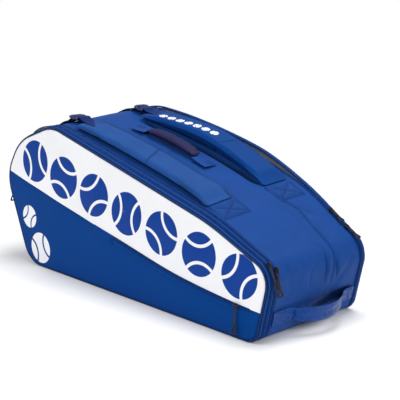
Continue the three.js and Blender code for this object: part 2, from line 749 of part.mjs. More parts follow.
function grabHandle() {
  const outline = (u) => {
    const share = THREE.MathUtils.clamp((xOnTop(u) - GRAB.start) / (GRAB.end - GRAB.start), 0, 1);
    const full = Math.sin(Math.PI * share) ** 0.6;
    const low = GRAB_ARCH.foot + GRAB_ARCH.height * full;
    const thick = GRAB.endThickness + (GRAB.thickness - GRAB.endThickness) * full;
    const width = GRAB.endWidth + (GRAB.width - GRAB.endWidth) * full;
    return [
      [-width / 2, low + thick * 0.65, low + thick * 0.35],
      [-width / 4, low + thick, low],
      [width / 4, low + thick, low],
      [width / 2, low + thick * 0.65, low + thick * 0.35],
    ];
  };
  add("grab_handle", band(uOnTop(GRAB.start), uOnTop(GRAB.end), outline), navyPlastic);
  grabTab("grab_handle_head_tab", GRAB.start - 0.5, -1);
  grabTab("grab_handle_end_tab", GRAB.end + 0.5, 1);
}

// Tab sewn flat on the gusset. It rises at its inner end, at x, to meet the handle's foot.
function grabTab(name, x, side) {
  const outline = (u) => {
    const ramp = 1 - smoothstep(0, GRAB_TAB.ramp, Math.abs(xOnTop(u) - x));
    const low = REST + (GRAB_ARCH.foot + 0.2) * ramp;
    return columns(-GRAB_TAB.width / 2, GRAB_TAB.width / 2, 2, low + GRAB_TAB.thickness, low);
  };
  const places = [x, x + side * GRAB_TAB.ramp, x + side * GRAB_TAB.length].sort((a, b) => a - b);
  const [start, ramp, end] = places.map(uOnTop);
  add(name, band(start, end, outline, onGusset, [ramp]), blueWebbing);
}

// ---- Haul handle across the handle end -----------------------------------------------------------

// Its middle height, half its height at mid-span and at its ends, and how it stands off the gusset.
const HAUL = {
  z: 44,
  halfHeight: 16,
  endHalfHeight: 11,
  start: -62,
  end: 88,
  thickness: 3.4,
  standoff: 6,
  bow: 26,
};
const HAUL_PATCHES = { front: [-118, -62.4], rear: [88.4, 128], halfHeight: 14, thickness: 2.2 };

// Bar of webbing across the handle end, from place to place along y, at height(y) off the gusset.
function crossBand(start, end, steps, heightAt, halfHeightAt, thickness) {
  const sections = Array.from({ length: steps + 1 }, (_, i) => {
    const y = start + ((end - start) * i) / steps;
    const edges = [-halfHeightAt(y), 0, halfHeightAt(y)].map((dz) => uOnHandleEnd(HAUL.z - dz));
    const low = heightAt(y);
    const outer = edges.map((u) => onGusset(u, y, low + thickness));
    const inner = edges.map((u) => onGusset(u, y, low));
    return [...outer, ...inner.reverse()];
  });
  return loft(sections);
}

function haulHandle() {
  const { start, end, halfHeight, endHalfHeight, thickness, standoff, bow } = HAUL;
  const share = (y) => (y - start) / (end - start);
  const heightAt = (y) => standoff - thickness / 2 + bow * Math.sin(Math.PI * share(y)) ** 0.9;
  const halfHeightAt = (y) =>
    endHalfHeight + (halfHeight - endHalfHeight) * Math.sin(Math.PI * share(y)) ** 0.5;
  add("haul_handle", crossBand(start, end, 18, heightAt, halfHeightAt, thickness), blueWebbing);
  haulPatch("haul_handle_front_patch", HAUL_PATCHES.front, 6, HAUL_PATCHES.front[1]);
  haulPatch("haul_handle_rear_patch", HAUL_PATCHES.rear, 5, HAUL_PATCHES.rear[0]);
}

// Patch sewn on the gusset that rises at its inner edge to meet the handle.
function haulPatch(name, [start, end], steps, inner) {
  const { halfHeight, thickness } = HAUL_PATCHES;
  const rest = 2 * GAP;
  const heightAt = (y) => rest + (HAUL.standoff - 4 * rest) * (1 - smoothstep(0, 18, Math.abs(y - inner)));
  add(name, crossBand(start, end, steps, heightAt, () => halfHeight, thickness), blueWebbing);
}

base();
gusset();
dividers();
zips();
frontFrame();
covers();
pocketZip();
sliders();
straps();
grabHandle();
haulHandle();

export default bag;
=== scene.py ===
"""Racket tournament bag: woven panels, padded straps, coil zips and trim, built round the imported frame."""

import math

import bpy
import numpy as np
from mathutils import Matrix, Vector


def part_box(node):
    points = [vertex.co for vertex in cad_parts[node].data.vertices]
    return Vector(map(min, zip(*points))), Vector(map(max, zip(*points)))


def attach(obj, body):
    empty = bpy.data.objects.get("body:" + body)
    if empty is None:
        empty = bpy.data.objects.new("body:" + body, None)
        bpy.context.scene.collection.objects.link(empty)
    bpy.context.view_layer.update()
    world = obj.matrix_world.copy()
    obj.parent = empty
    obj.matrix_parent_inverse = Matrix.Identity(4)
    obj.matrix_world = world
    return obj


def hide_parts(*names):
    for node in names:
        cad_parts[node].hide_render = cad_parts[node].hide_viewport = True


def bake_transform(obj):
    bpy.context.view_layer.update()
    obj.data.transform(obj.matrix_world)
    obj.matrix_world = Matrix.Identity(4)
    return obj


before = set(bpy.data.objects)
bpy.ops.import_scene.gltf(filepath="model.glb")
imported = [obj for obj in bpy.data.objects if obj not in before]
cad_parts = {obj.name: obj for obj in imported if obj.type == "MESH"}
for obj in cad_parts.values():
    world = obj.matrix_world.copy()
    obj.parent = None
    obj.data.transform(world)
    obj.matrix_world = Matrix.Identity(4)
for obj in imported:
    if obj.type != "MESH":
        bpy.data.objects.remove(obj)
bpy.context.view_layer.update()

MM = 0.001

# ---- Gusset surface: the bag's outline seen from the side, and how its top rises, in mm ----------

PROFILE = [
    (-312, 0, 62),
    (-396, 188, 80),
    (-350, 272, 110),
    (-238, 318, 90),
    (225, 202, 500),
    (376, 140, 45),
    (352, 0, 28),
]
HALF_WIDTH = 152
CROWN, CROWN_PEAK_X, CROWN_HEAD_REACH, CROWN_END_REACH = 47, 40, 500, 360
MOUTH_BOW, MOUTH_DIP = 18, 8.4
MOUTH = (-330, -130, 60, 260)
FABRIC = 2.4
GUSSET_FRONT_Y, GUSSET_REAR_Y = -120.0, 132.4
PATCH = (187, 232)


def smoothstep(low, high, v):
    t = np.clip((np.asarray(v, float) - low) / (high - low), 0, 1)
    return t * t * (3 - 2 * t)


def unit(v):
    v = np.asarray(v, float)
    return v / np.linalg.norm(v, axis=-1, keepdims=True)


def bell(v, width):
    return np.exp(-((v / width) ** 2))


def between(v, start, full, fading, end):
    """Rises from 0 to 1 over start..full and falls back over fading..end."""
    return smoothstep(start, full, v) * (1 - smoothstep(fading, end, v))


def super_circle(count, exponent):
    """x and y round a unit circle squared off by an exponent below 1."""
    angle = np.linspace(0, 2 * math.pi, count, endpoint=False)
    c, s = np.cos(angle), np.sin(angle)
    return np.sign(c) * np.abs(c) ** exponent, np.sign(s) * np.abs(s) ** exponent


def run_length(path):
    """Distance along a path at each of its points."""
    return np.concatenate([[0], np.cumsum(np.linalg.norm(np.diff(path, axis=0), axis=1))])


def rounded_profile():
    """Points and directions along the profile, clockwise from the base round the head end and back."""
    points, ways = [], []
    count = len(PROFILE)
    for i, (x, z, radius) in enumerate(PROFILE):
        corner = np.array([x, z], float)
        back = unit(np.array(PROFILE[i - 1][:2]) - corner)
        ahead = unit(np.array(PROFILE[(i + 1) % count][:2]) - corner)
        half = math.acos(back @ ahead) / 2
        centre = corner + unit(back + ahead) * radius / math.sin(half)
        start = corner + back * radius / math.tan(half) - centre
        end = corner + ahead * radius / math.tan(half) - centre
        first = math.atan2(start[1], start[0])
        sweep = (first - math.atan2(end[1], end[0])) % (2 * math.pi)
        angle = first - sweep * np.linspace(0, 1, max(8, int(radius * sweep)))
        points.append(centre + radius * np.stack([np.cos(angle), np.sin(angle)], -1))
        ways.append(np.stack([np.sin(angle), -np.cos(angle)], -1))
    return np.concatenate(points), np.concatenate(ways)


PATH, PATH_WAYS = rounded_profile()
PATH_S = run_length(PATH)
LENGTH = PATH_S[-1]
HEADMOST, ENDMOST = int(np.argmin(PATH[:, 0])), int(np.argmax(PATH[:, 0]))


def profile(s):
    """x, z and direction at s mm along the profile."""
    return [np.interp(s, PATH_S, v) for v in (PATH[:, 0], PATH[:, 1], PATH_WAYS[:, 0], PATH_WAYS[:, 1])]


def on_top(x):
    """s of the point at x on the top; the next two do the same for z on the two ends."""
    part = slice(HEADMOST, ENDMOST + 1)
    return np.interp(x, PATH[part, 0], PATH_S[part])


def on_head_end(z):
    return np.interp(z, PATH[: HEADMOST + 1, 1], PATH_S[: HEADMOST + 1])


def on_handle_end(z):
    return np.interp(z, PATH[ENDMOST:, 1][::-1], PATH_S[ENDMOST:][::-1])


CROWN_PEAK = on_top(CROWN_PEAK_X)


def rise(s, y):
    """How far the arched top stands over the flat profile."""
    along = s - CROWN_PEAK
    reach = np.where(along < 0, CROWN_HEAD_REACH, CROWN_END_REACH)
    lengthwise = np.cos(np.minimum(1, np.abs(along) / reach) * math.pi / 2) ** 1.3
    across = np.clip((y + HALF_WIDTH) / (2 * HALF_WIDTH), 0, 1)
    return CROWN * lengthwise * across * (1.45 - 0.45 * across)


def on_gusset(s, y, h):
    """Points h mm above the gusset at s along it and y across it; arrays broadcast together."""
    s, y, h = [v.astype(float) for v in np.broadcast_arrays(s, y, h)]
    x, z, tx, tz = profile(s)
    out = rise(s, y) + h
    return np.stack([x - tz * out, y, z + tx * out], -1)


def mouth_share(x):
    """1 over the middle of the rear zip's mouth, 0 beyond its ends."""
    return between(x, *MOUTH)


def rear_lean(x, z):
    """How far the rear cover bows outwards at the mouth."""
    top = on_gusset(on_top(np.clip(x, -380, 368)), HALF_WIDTH, -12)[..., 2]
    return MOUTH_BOW * mouth_share(x) * np.minimum(1, z / top) ** 2


def on_rear_cover(s, y, h):
    p = on_gusset(s, y, h)
    p[..., 1] += rear_lean(p[..., 0], p[..., 2])
    return p


def gusset_rear_y(s):
    """The gusset's rear edge, drawn in where the mouth gapes."""
    x = profile(s)[0]
    on_the_top = (s > PATH_S[HEADMOST]) & (s < PATH_S[ENDMOST])
    return GUSSET_REAR_Y - MOUTH_DIP * mouth_share(x) * on_the_top


def surface_frame(s, y):
    along = unit(on_gusset(s + 4, y, 0) - on_gusset(s - 4, y, 0))
    return along, np.array([-along[2], 0, along[0]])


# ---- Mesh building --------------------------------------------------------------------------------

def add_object(name, data):
    obj = bpy.data.objects.new(name, data)
    bpy.context.scene.collection.objects.link(obj)
    return obj


def new_object(name, points, faces, cloth=None, edge=None, smooth=40):
    """Object from points in mm. cloth holds each point's place on the cloth, in mm, for the weave."""
    points = np.asarray(points)
    mesh = bpy.data.meshes.new(name)
    mesh.from_pydata((points * MM).tolist(), [], faces)
    mesh.update()
    cloth = np.asarray(points if cloth is None else cloth, float)
    if cloth.shape[1] == 2:
        cloth = np.column_stack([cloth, np.zeros(len(cloth))])
    attribute = mesh.attributes.new("cloth", "FLOAT_VECTOR", "POINT")
    attribute.data.foreach_set("vector", (cloth * MM).astype(np.float32).ravel())
    # edge holds painted shade: the materials darken the surface where it is above 0.
    attribute = mesh.attributes.new("edge", "FLOAT", "POINT")
    edge = np.zeros(len(points)) if edge is None else edge
    attribute.data.foreach_set("value", np.asarray(edge, np.float32))
    mesh.polygons.foreach_set("use_smooth", [True] * len(mesh.polygons))
    mesh.set_sharp_from_angle(angle=math.radians(smooth))
    return add_object(name, mesh)


def loft_data(rings, ring_closed=False, strip_ends=False):
    """Points and faces of a closed solid through closed rings of equal length (n, k, 3).

    Its ends are closed by a fan, or by strips between a ring's first half and its second.
    """
    rings = np.asarray(rings, float)
    n, k = rings.shape[:2]
    i, j = np.meshgrid(np.arange(n if ring_closed else n - 1), np.arange(k), indexing="ij")
    a, b = i * k + j, i * k + (j + 1) % k
    c, d = ((i + 1) % n) * k + (j + 1) % k, ((i + 1) % n) * k + j
    faces = np.stack([a, b, c, d], -1).reshape(-1, 4).tolist()
    points = rings.reshape(-1, 3)
    if strip_ends:
        for base, way in ((0, 1), ((n - 1) * k, -1)):
            faces += [[base + v for v in (k - 1 - q, k - 2 - q, q + 1, q)][::way] for q in range(k // 2 - 1)]
    elif not ring_closed:
        points = np.concatenate([points, rings[0].mean(0)[None], rings[-1].mean(0)[None]])
        last = (n - 1) * k
        for q in range(k):
            faces.append([(q + 1) % k, q, n * k])
            faces.append([last + q, last + (q + 1) % k, n * k + 1])
    return points, faces


def outward(points, faces):
    """Faces turned so that the solid's volume is positive."""
    t = np.array([(f[0], f[q], f[q + 1]) for f in faces for q in range(1, len(f) - 1)])
    p = np.asarray(points)
    volume = np.einsum("ij,ij->i", p[t[:, 0]], np.cross(p[t[:, 1]], p[t[:, 2]])).sum()
    return faces if volume > 0 else [f[::-1] for f in faces]


def joined(parts):
    """Points and faces of several closed solids as one mesh."""
    points, faces, size = [], [], 0
    for p, f in parts:
        faces += [[v + size for v in q] for q in outward(p, f)]
        points.append(p)
        size += len(p)
    return np.concatenate(points), faces


def loft(name, rings, ring_closed=False, cloth=None, edge=None, smooth=40, strip_ends=False):
    rings = np.asarray(rings, float)
    n, k = rings.shape[:2]
    points, faces = loft_data(rings, ring_closed, strip_ends)
    if cloth is None:
        along, around = run_length(rings.mean(1)), run_length(rings[n // 2])
        cloth = np.stack(np.broadcast_arrays(along[:, None], around), -1)
    cloth = np.asarray(cloth, float).reshape(n, k, -1)
    caps = [cloth[0].mean(0), cloth[-1].mean(0)] if len(points) > n * k else []
    cloth = np.concatenate([cloth.reshape(n * k, -1), *[cap[None] for cap in caps]])
    if edge is not None:
        edge = np.concatenate([np.asarray(edge, float).ravel(), [1] * len(caps)])
    return new_object(name, points, outward(points, faces), cloth, edge, smooth)


def there_and_back(row):
    """A section's values along its outer side and back along its inner side."""
    return np.concatenate([row, row[..., ::-1]], -1)


def shell_rings(outer, inner, along, across):
    """Rings round two faces (n, k, 3), and their places on the cloth."""
    cloth = np.stack(np.broadcast_arrays(along, there_and_back(across)), -1)
    return np.concatenate([outer, inner[:, ::-1]], 1), cloth


def shell(name, outer, inner, along, across, **looks):
    rings, cloth = shell_rings(outer, inner, along, across)
    return loft(name, rings, False, cloth, **looks)


def band_rings(s, across, place=on_gusset):
    """Rings of a band. across(s) gives rows of y, top height and bottom height at stations s."""
    y, high, low = np.broadcast_arrays(*across(s[:, None]))
    return shell_rings(place(s[:, None], y, high), place(s[:, None], y, low), s[:, None], y)


def band(name, s, across, place=on_gusset, smooth=40):
    rings, cloth = band_rings(s, across, place)
    return loft(name, rings, False, cloth, None, smooth, True)


def rounded_strip(y0, y1, top, bottom, count, power):
    """across() of a strip whose outer edges are rounded over."""
    share = 0.5 - 0.5 * np.cos(np.linspace(0, math.pi, count))
    full = (1 - np.abs(2 * share - 1) ** power) ** (1 / power)

    def across(s):
        return y0 + (y1 - y0) * share + 0 * s, bottom + (top - bottom) * (0.35 + 0.65 * full), bottom

    return across


def stations(start, end, step):
    return np.linspace(start, end, max(2, int(round(abs(end - start) / step)) + 1))


def tube_rings(path, radius, sides, closed=False, flat=1.0, normal=(0, 1.0, 0)):
    """Rings of a cord along a path; flat squeezes it along the given normal."""
    path = np.asarray(path, float)
    way = unit(np.roll(path, -1, 0) - np.roll(path, 1, 0) if closed else np.gradient(path, axis=0))
    side = unit(np.cross(way, normal))
    up = unit(np.cross(side, way))
    angle = np.linspace(0, 2 * math.pi, sides, endpoint=False)
    radius = np.broadcast_to(np.asarray(radius, float), (len(path),))
    return (
        path[:, None]
        + side[:, None] * (np.cos(angle) * radius[:, None])[..., None]
        + up[:, None] * (np.sin(angle) * radius[:, None] * flat)[..., None]
    )


def smooth_path(corners, count, closed=False):
    """Catmull-Rom curve through the corners, resampled evenly."""
    c = np.asarray(corners, float)
    before, after = (c[-1:], c[:2]) if closed else (2 * c[:1] - c[1:2], 2 * c[-1:] - c[-2:-1])
    c = np.concatenate([before, c, after])
    t = np.linspace(0, 1, 16, endpoint=False)[:, None]
    parts = []
    for a, b, d, e in zip(c, c[1:], c[2:], c[3:]):
        curve = 2 * b + (d - a) * t + (2 * a - 5 * b + 4 * d - e) * t**2 + (3 * b - a - 3 * d + e) * t**3
        parts.append(0.5 * curve)
    dense = np.concatenate(parts + [c[-2:-1]])
    s = run_length(dense)
    at = np.linspace(0, s[-1], count, endpoint=not closed)
    return np.stack([np.interp(at, s, dense[:, q]) for q in range(3)], -1)


STITCH_PITCH, STITCH_LENGTH, STITCH_WIDTH, STITCH_LIFT = 3.6, 2.7, 0.75, 0.3


def stitch_data(path, normals):
    """Points and faces of a row of stitches along a path on a surface."""
    path = np.asarray(path, float)
    normals = np.broadcast_to(np.asarray(normals, float), path.shape)
    s = run_length(path)
    count = max(1, int(s[-1] / STITCH_PITCH))
    middle = (np.arange(count) + 0.5) * s[-1] / count
    at = lambda v, q: np.stack([np.interp(q, s, v[:, r]) for r in range(3)], -1)
    p0, p1 = at(path, middle - STITCH_LENGTH / 2), at(path, middle + STITCH_LENGTH / 2)
    n = unit(at(normals, middle))
    side = np.cross(unit(p1 - p0), n) * STITCH_WIDTH / 2
    n = n * STITCH_LIFT
    points = [(p0 - n / 3)[:, None]]
    for share in (0.22, 0.78):
        p = p0 + (p1 - p0) * share
        points.append(np.stack([p + side, p + n, p - side, p - n], 1))
    points = np.concatenate(points + [(p1 - n / 3)[:, None]], 1)
    one = [[0, 2, 1], [0, 3, 2], [0, 4, 3], [0, 1, 4]]
    one += [[1, 2, 6, 5], [2, 3, 7, 6], [3, 4, 8, 7], [4, 1, 5, 8]]
    one += [[5, 6, 9], [6, 7, 9], [7, 8, 9], [8, 5, 9]]
    faces = [[v + 10 * q for v in f] for q in range(count) for f in one]
    return points.reshape(-1, 3), faces


class Thread:
    """All the stitching of one body, gathered into one mesh."""

    def __init__(self, name, body):
        self.name, self.body, self.points, self.faces, self.size = name, body, [], [], 0

    def row(self, path, normals):
        points, faces = stitch_data(path, normals)
        self.faces += [[v + self.size for v in f] for f in faces]
        self.points.append(points)
        self.size += len(points)

    def on(self, s, y, h):
        """Row along a line of the gusset surface."""
        path = on_gusset(s, y, h)
        self.row(path, on_gusset(s, y, np.asarray(h) + 1.0) - path)

    def make(self):
        obj = new_object(self.name, np.concatenate(self.points), self.faces, smooth=60)
        finish_piece(obj, self.body, thread_navy)


def finish_piece(obj, body, material, nodes=(), blend=None):
    """Gives a piece its material and hides the CAD nodes that it stands for; it joins its body, or, given a
    blend, keeps its place in the world and joins no body.
    """
    obj.data.materials.clear()
    obj.data.materials.append(material)
    if blend:
        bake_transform(obj)
    else:
        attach(obj, body)
    if nodes:
        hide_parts(*nodes)
    return obj


# ---- Materials ------------------------------------------------------------------------------------


class Nodes:
    """Short ways to add shader nodes to one material."""

    def __init__(self, name):
        self.material = bpy.data.materials.new(name)
        self.material.use_nodes = True
        self.tree = self.material.node_tree
        self.shader = self.tree.nodes["Principled BSDF"]

    def put(self, socket, value):
        """Links a value from another node, or sets a constant."""
        if isinstance(value, bpy.types.NodeSocket):
            self.tree.links.new(value, socket)
        else:
            socket.default_value = value

    def add(self, kind, inputs=None, **settings):
        node = self.tree.nodes.new(kind)
        for key, value in settings.items():
            setattr(node, key, value)
        for key, value in (inputs or {}).items():
            self.put(node.inputs[key], value)
        return node

    def math(self, operation, a, b=0.0, c=0.0):
        return self.add("ShaderNodeMath", {0: a, 1: b, 2: c}, operation=operation).outputs[0]

    def times(self, a, b):
        return self.math("MULTIPLY", a, b)

    def plus(self, a, b):
        return self.math("ADD", a, b)

    def minus(self, a, b):
        return self.math("SUBTRACT", a, b)

    def hypot(self, a, b):
        return self.math("SQRT", self.plus(self.times(a, a), self.times(b, b)))

    def parts(self, vector):
        return self.add("ShaderNodeSeparateXYZ", {"Vector": vector}).outputs

    def cloth(self):
        return self.add("ShaderNodeAttribute", attribute_name="cloth").outputs["Vector"]

    # The edge attribute: painted shade, from 0 to about 2.
    def edge(self):
        return self.add("ShaderNodeAttribute", attribute_name="edge").outputs["Fac"]

    def noise(self, vector, scale, detail=2.0, roughness=0.5):
        inputs = {"Vector": vector, "Scale": scale, "Detail": detail, "Roughness": roughness}
        return self.add("ShaderNodeTexNoise", inputs).outputs["Fac"]

    def span(self, value, low, high, to_low, to_high):
        """Maps value from low..high onto to_low..to_high, held at both ends."""
        inputs = {"Value": value, "From Min": low, "From Max": high, "To Min": to_low, "To Max": to_high}
        return self.add("ShaderNodeMapRange", inputs, clamp=True).outputs["Result"]

    def mix(self, factor, a, b):
        inputs = {0: factor, 6: a, 7: b}
        return self.add("ShaderNodeMix", inputs, data_type="RGBA", clamp_factor=True).outputs[2]

    def bump(self, height, distance, strength, below=None):
        inputs = {"Height": height, "Distance": distance, "Strength": strength}
        if below is not None:
            inputs["Normal"] = below
        return self.add("ShaderNodeBump", inputs).outputs["Normal"]

    def finish(self, colour, roughness, normal, **constants):
        inputs = {"Base Color": colour, "Roughness": roughness, "Normal": normal, **constants}
        for key, value in inputs.items():
            self.put(self.shader.inputs[key.replace("_", " ")], value)
        return self.material


def rgb(r, g, b):
    return (r, g, b, 1.0)


def shade(colour, factor):
    return rgb(*[min(1.0, v * factor) for v in colour[:3]])


def weave_of(n, place, pitch, twill=0.0):
    """Height of a plain or twill weave of that pitch in metres, from 0 to 1."""
    parts = n.parts(place)
    x, y = [n.times(parts[q], 2 * math.pi / pitch) for q in range(2)]
    if twill:
        x = n.plus(x, n.times(y, twill))
    both = n.times(n.math("SINE", x), n.math("SINE", y))
    return n.math("MULTIPLY_ADD", both, 0.5, 0.5)


def woven(
    name, colour, pitch=0.0011, rough=(0.5, 0.66), depth=0.00012, twill=0.0, contrast=0.12, **constants
):
    """Woven cloth: weave, slubs and faint cloudiness, with painted shade in the weave's hollows and wherever
    the edge attribute is set.
    """
    n = Nodes(name)
    place = n.cloth()
    weave = weave_of(n, place, pitch, twill)
    slub = n.noise(place, 900, 3)
    cloud = n.noise(place, 14, 4, 0.6)
    tone = n.mix(n.span(cloud, 0.3, 0.7, 0, 1), shade(colour, 1 - contrast), shade(colour, 1 + contrast))
    # Painted shade: the weave's low points are darkened.
    tone = n.mix(n.span(weave, 0, 1, 0.16, 0), tone, shade(colour, 0.55))
    # Painted shade: the edge attribute darkens the cloth towards a fifth of its colour.
    tone = n.mix(n.times(n.edge(), 0.5), tone, shade(colour, 0.2))
    roughness = n.span(n.plus(n.times(slub, 0.5), n.times(cloud, 0.5)), 0.3, 0.7, *rough)
    soft = n.bump(n.noise(place, 60, 3), 0.0006, 0.5)
    normal = n.bump(n.math("MULTIPLY_ADD", slub, 0.35, weave), depth, 0.9, soft)
    return n.finish(tone, roughness, normal, **constants)


RIB, WEFT = 0.0017, 0.0009


def ribbed(name, colour, rough=(0.34, 0.52), **constants):
    """Webbing: rounded ribs along it, crossed by a finer weft."""
    n = Nodes(name)
    place = n.cloth()
    parts = n.parts(place)
    ribs = n.math("ABSOLUTE", n.math("SINE", n.times(parts[1], math.pi / RIB)))
    weft = n.math("SINE", n.times(parts[0], 2 * math.pi / WEFT))
    height = n.math("MULTIPLY_ADD", weft, 0.22, ribs)
    cloud = n.noise(place, 40, 3)
    # Painted shade and highlight: darker between the ribs, lighter on their crowns.
    tone = n.mix(n.span(ribs, 0, 0.6, 1, 0), shade(colour, 1.12), shade(colour, 0.5))
    tone = n.mix(n.span(cloud, 0.35, 0.7, 0, 0.5), tone, shade(colour, 0.8))
    roughness = n.span(cloud, 0.3, 0.7, *rough)
    return n.finish(tone, roughness, n.bump(height, 0.0003, 0.9), **constants)


def moulded(name, colour, rough=(0.2, 0.34), grain=0.00004, **constants):
    """Moulded plastic or plated metal: fine grain, and handling marks in the gloss."""
    n = Nodes(name)
    place = n.add("ShaderNodeTexCoord").outputs["Object"]
    marks = n.noise(place, 160, 4, 0.6)
    tone = n.mix(n.span(marks, 0.35, 0.7, 0, 1), shade(colour, 0.85), shade(colour, 1.2))
    roughness = n.span(marks, 0.3, 0.7, *rough)
    return n.finish(tone, roughness, n.bump(n.noise(place, 2600, 2), grain, 0.6), **constants)


def tinted(r, g, b, level=0.5):
    """Highlights in the material's own tint."""
    return {"Specular_Tint": rgb(r, g, b), "Specular_IOR_Level": level}


# Painted light: the bag's blue cloth comes in lit and shaded copies. BLUE, on the front panel, is darker;
# blue_fabric on the gusset and strap_fabric on the near strap are lighter, for the light the top catches.
BLUE = rgb(0.0012, 0.043, 0.215)
WHITE = rgb(0.83, 0.835, 0.86)
INK = rgb(0.0015, 0.040, 0.26)
dyed = tinted(0.10, 0.35, 1.0, 0.18)
coated = tinted(0.10, 0.35, 1.0, 0.08)
sheen = {"Sheen_Weight": 0.10, "Sheen_Roughness": 0.4, "Sheen_Tint": rgb(0.25, 0.42, 1.0), **dyed}
blue_fabric = woven("blue_fabric", rgb(0.007, 0.050, 0.232), **sheen)
strap_fabric = woven("strap_fabric", rgb(0.013, 0.063, 0.24), pitch=0.0013, twill=1.0, **sheen)
# Painted shade: the zip tape and the piping are darker copies of the blue, for the shade on the inclined
# strips along the zips.
tape_fabric = woven("zip_tape", shade(BLUE, 0.66), pitch=0.0016, twill=1.0, contrast=0.06, **dyed)
grey_lining = woven("grey_lining", rgb(0.36, 0.39, 0.45), pitch=0.0009, rough=(0.5, 0.7), contrast=0.05)
piping_cloth = woven(
    "piping_cloth", rgb(0.002, 0.015, 0.085), 0.0009, (0.4, 0.55), contrast=0.1, **tinted(0.2, 0.4, 1.0)
)
base_laminate = woven("base_laminate", rgb(0.012, 0.016, 0.03), 0.003, (0.35, 0.5), 0.0003, twill=1.0)
handle_fabric = woven(
    "handle_fabric", rgb(0.014, 0.014, 0.064), 0.0014, (0.42, 0.6), **tinted(0.6, 0.5, 1.0, 0.16)
)
navy_webbing = ribbed("navy_webbing", rgb(0.003, 0.009, 0.06), **tinted(0.4, 0.5, 1.0))
tab_webbing = ribbed("tab_webbing", rgb(0.003, 0.017, 0.115), **dyed)
blue_webbing = ribbed("blue_webbing", rgb(0.002, 0.040, 0.22), (0.2, 0.34), **tinted(0.2, 0.42, 1.0))
coil_nylon = moulded("coil_nylon", rgb(0.001, 0.018, 0.12), (0.24, 0.38), **tinted(0.10, 0.35, 1.0, 0.3))
navy_plastic = moulded("navy_plastic", rgb(0.014, 0.026, 0.11), **tinted(0.7, 0.8, 1.0, 0.8))
slider_metal = moulded("slider_metal", rgb(0.03, 0.03, 0.036), (0.22, 0.4), Metallic=0.85)
pull_rubber = moulded("pull_rubber", rgb(0.010, 0.007, 0.007), (0.42, 0.58), 0.0001, Specular_IOR_Level=0.3)
pull_cord = woven("pull_cord", rgb(0.02, 0.014, 0.013), 0.0012, (0.5, 0.7), 0.0003, twill=1.0)
thread_navy = moulded("thread_navy", rgb(0.003, 0.018, 0.09), (0.4, 0.6), **dyed)


# A printed ball's seams are two circles; all three numbers are shares of the ball's radius.
BALL_SEAM_OFFSET, BALL_SEAM_RADIUS, BALL_SEAM_HALF = 1.42, 1.05, 0.075


def ball_print(n, across, up, radius, turn):
    """Ink of a ball centred on 0, 0: a disc with its two curved seams left out."""
    disc = n.math("LESS_THAN", n.hypot(across, up), radius)
    cosine, sine = n.math("COSINE", turn), n.math("SINE", turn)
    u = n.plus(n.times(across, cosine), n.times(up, sine))
    v = n.minus(n.times(up, cosine), n.times(across, sine))
    u = n.minus(n.math("ABSOLUTE", u), n.times(radius, BALL_SEAM_OFFSET))
    off = n.math("ABSOLUTE", n.minus(n.hypot(u, v), n.times(radius, BALL_SEAM_RADIUS)))
    return n.times(disc, n.math("GREATER_THAN", off, n.times(radius, BALL_SEAM_HALF)))


def printed(name, cloth_colour, ink, start, end, count, sizes, rough, **constants):
    """Smooth coated cloth with a row of balls printed from start to end, x and z in mm."""
    n = Nodes(name)
    place = n.cloth()
    parts = n.parts(place)
    (x0, z0), (x1, z1) = start, end
    run = math.hypot(x1 - x0, z1 - z0)
    cx, cz = (x1 - x0) / run, (z1 - z0) / run
    dx, dz = n.minus(parts[0], x0 * MM), n.minus(parts[1], z0 * MM)
    along = n.plus(n.times(dx, cx), n.times(dz, cz))
    up = n.minus(n.times(dz, cx), n.times(dx, cz))
    pitch = run * MM / (count - 1)
    cell = n.math("ROUND", n.math("DIVIDE", along, pitch))
    cell = n.math("MINIMUM", n.math("MAXIMUM", cell, 0.0), float(count - 1))
    across = n.minus(along, n.times(cell, pitch))
    radius = n.span(cell, 0, count - 1, sizes[0] * MM, sizes[1] * MM)
    shape = ball_print(n, across, up, radius, n.math("MULTIPLY_ADD", cell, 0.9, 0.5))
    weave = weave_of(n, place, 0.0007)
    cloud = n.noise(place, 9, 4, 0.6)
    base = n.mix(n.span(cloud, 0.3, 0.7, 0, 1), shade(cloth_colour, 0.97), shade(cloth_colour, 1.02))
    tone = n.mix(shape, base, ink)
    # Painted shade: darker towards the panel's rim, where the edge attribute is set.
    tone = n.mix(n.times(n.edge(), 0.2), tone, shade(cloth_colour, 0.6))
    roughness = n.span(n.noise(place, 500, 3), 0.3, 0.7, *rough)
    soft = n.bump(n.noise(place, 30, 3), 0.0006, 0.4)
    film = n.bump(shape, 0.00012, 0.6, soft)
    normal = n.bump(weave, 0.00005, 0.7, film)
    return n.finish(tone, roughness, normal, **constants)


dull = (0.5, 0.64)
glossy = tinted(0.5, 0.7, 1.0, 0.16)
white_print = printed("white_print", WHITE, INK, (-286, 234), (308, 119), 7, (45, 42), (0.4, 0.52), **glossy)
corner_print = printed("corner_print", BLUE, WHITE, (-306, 107), (-266, 44), 2, (25, 34), dull, **coated)
# Painted shade: the far strap's cloth is a darker copy of the near strap's, for the less light that falls on
# it.
strap_print = printed(
    "strap_print", shade(BLUE, 0.9), WHITE, (62, -14), (205, -4), 7, (9.5, 9.5), dull, **sheen
)

# ---- Gusset ---------------------------------------------------------------------------------------

HEAD_SEAM, END_SEAM = on_top(-335), on_top(PATCH[1] + 8)
BAND_SEAMS = (on_top(-147), on_top(66))
STRAPS = {
    "front": {"y": -80, "start": -215, "slack": 1.5, "webbing": 17, "cross": (10, -18)},
    "rear": {"y": 80, "start": -192, "slack": 12, "webbing": 8, "cross": (39, 55)},
}
STRAP_CLOTH = {"front": strap_fabric, "rear": strap_print}
STRAP_WIDTH, STRAP_THICKNESS = 76, 9
STRAP_EDGE_ROW, STRAP_PAD_MIDDLE = 6.5, 4.6

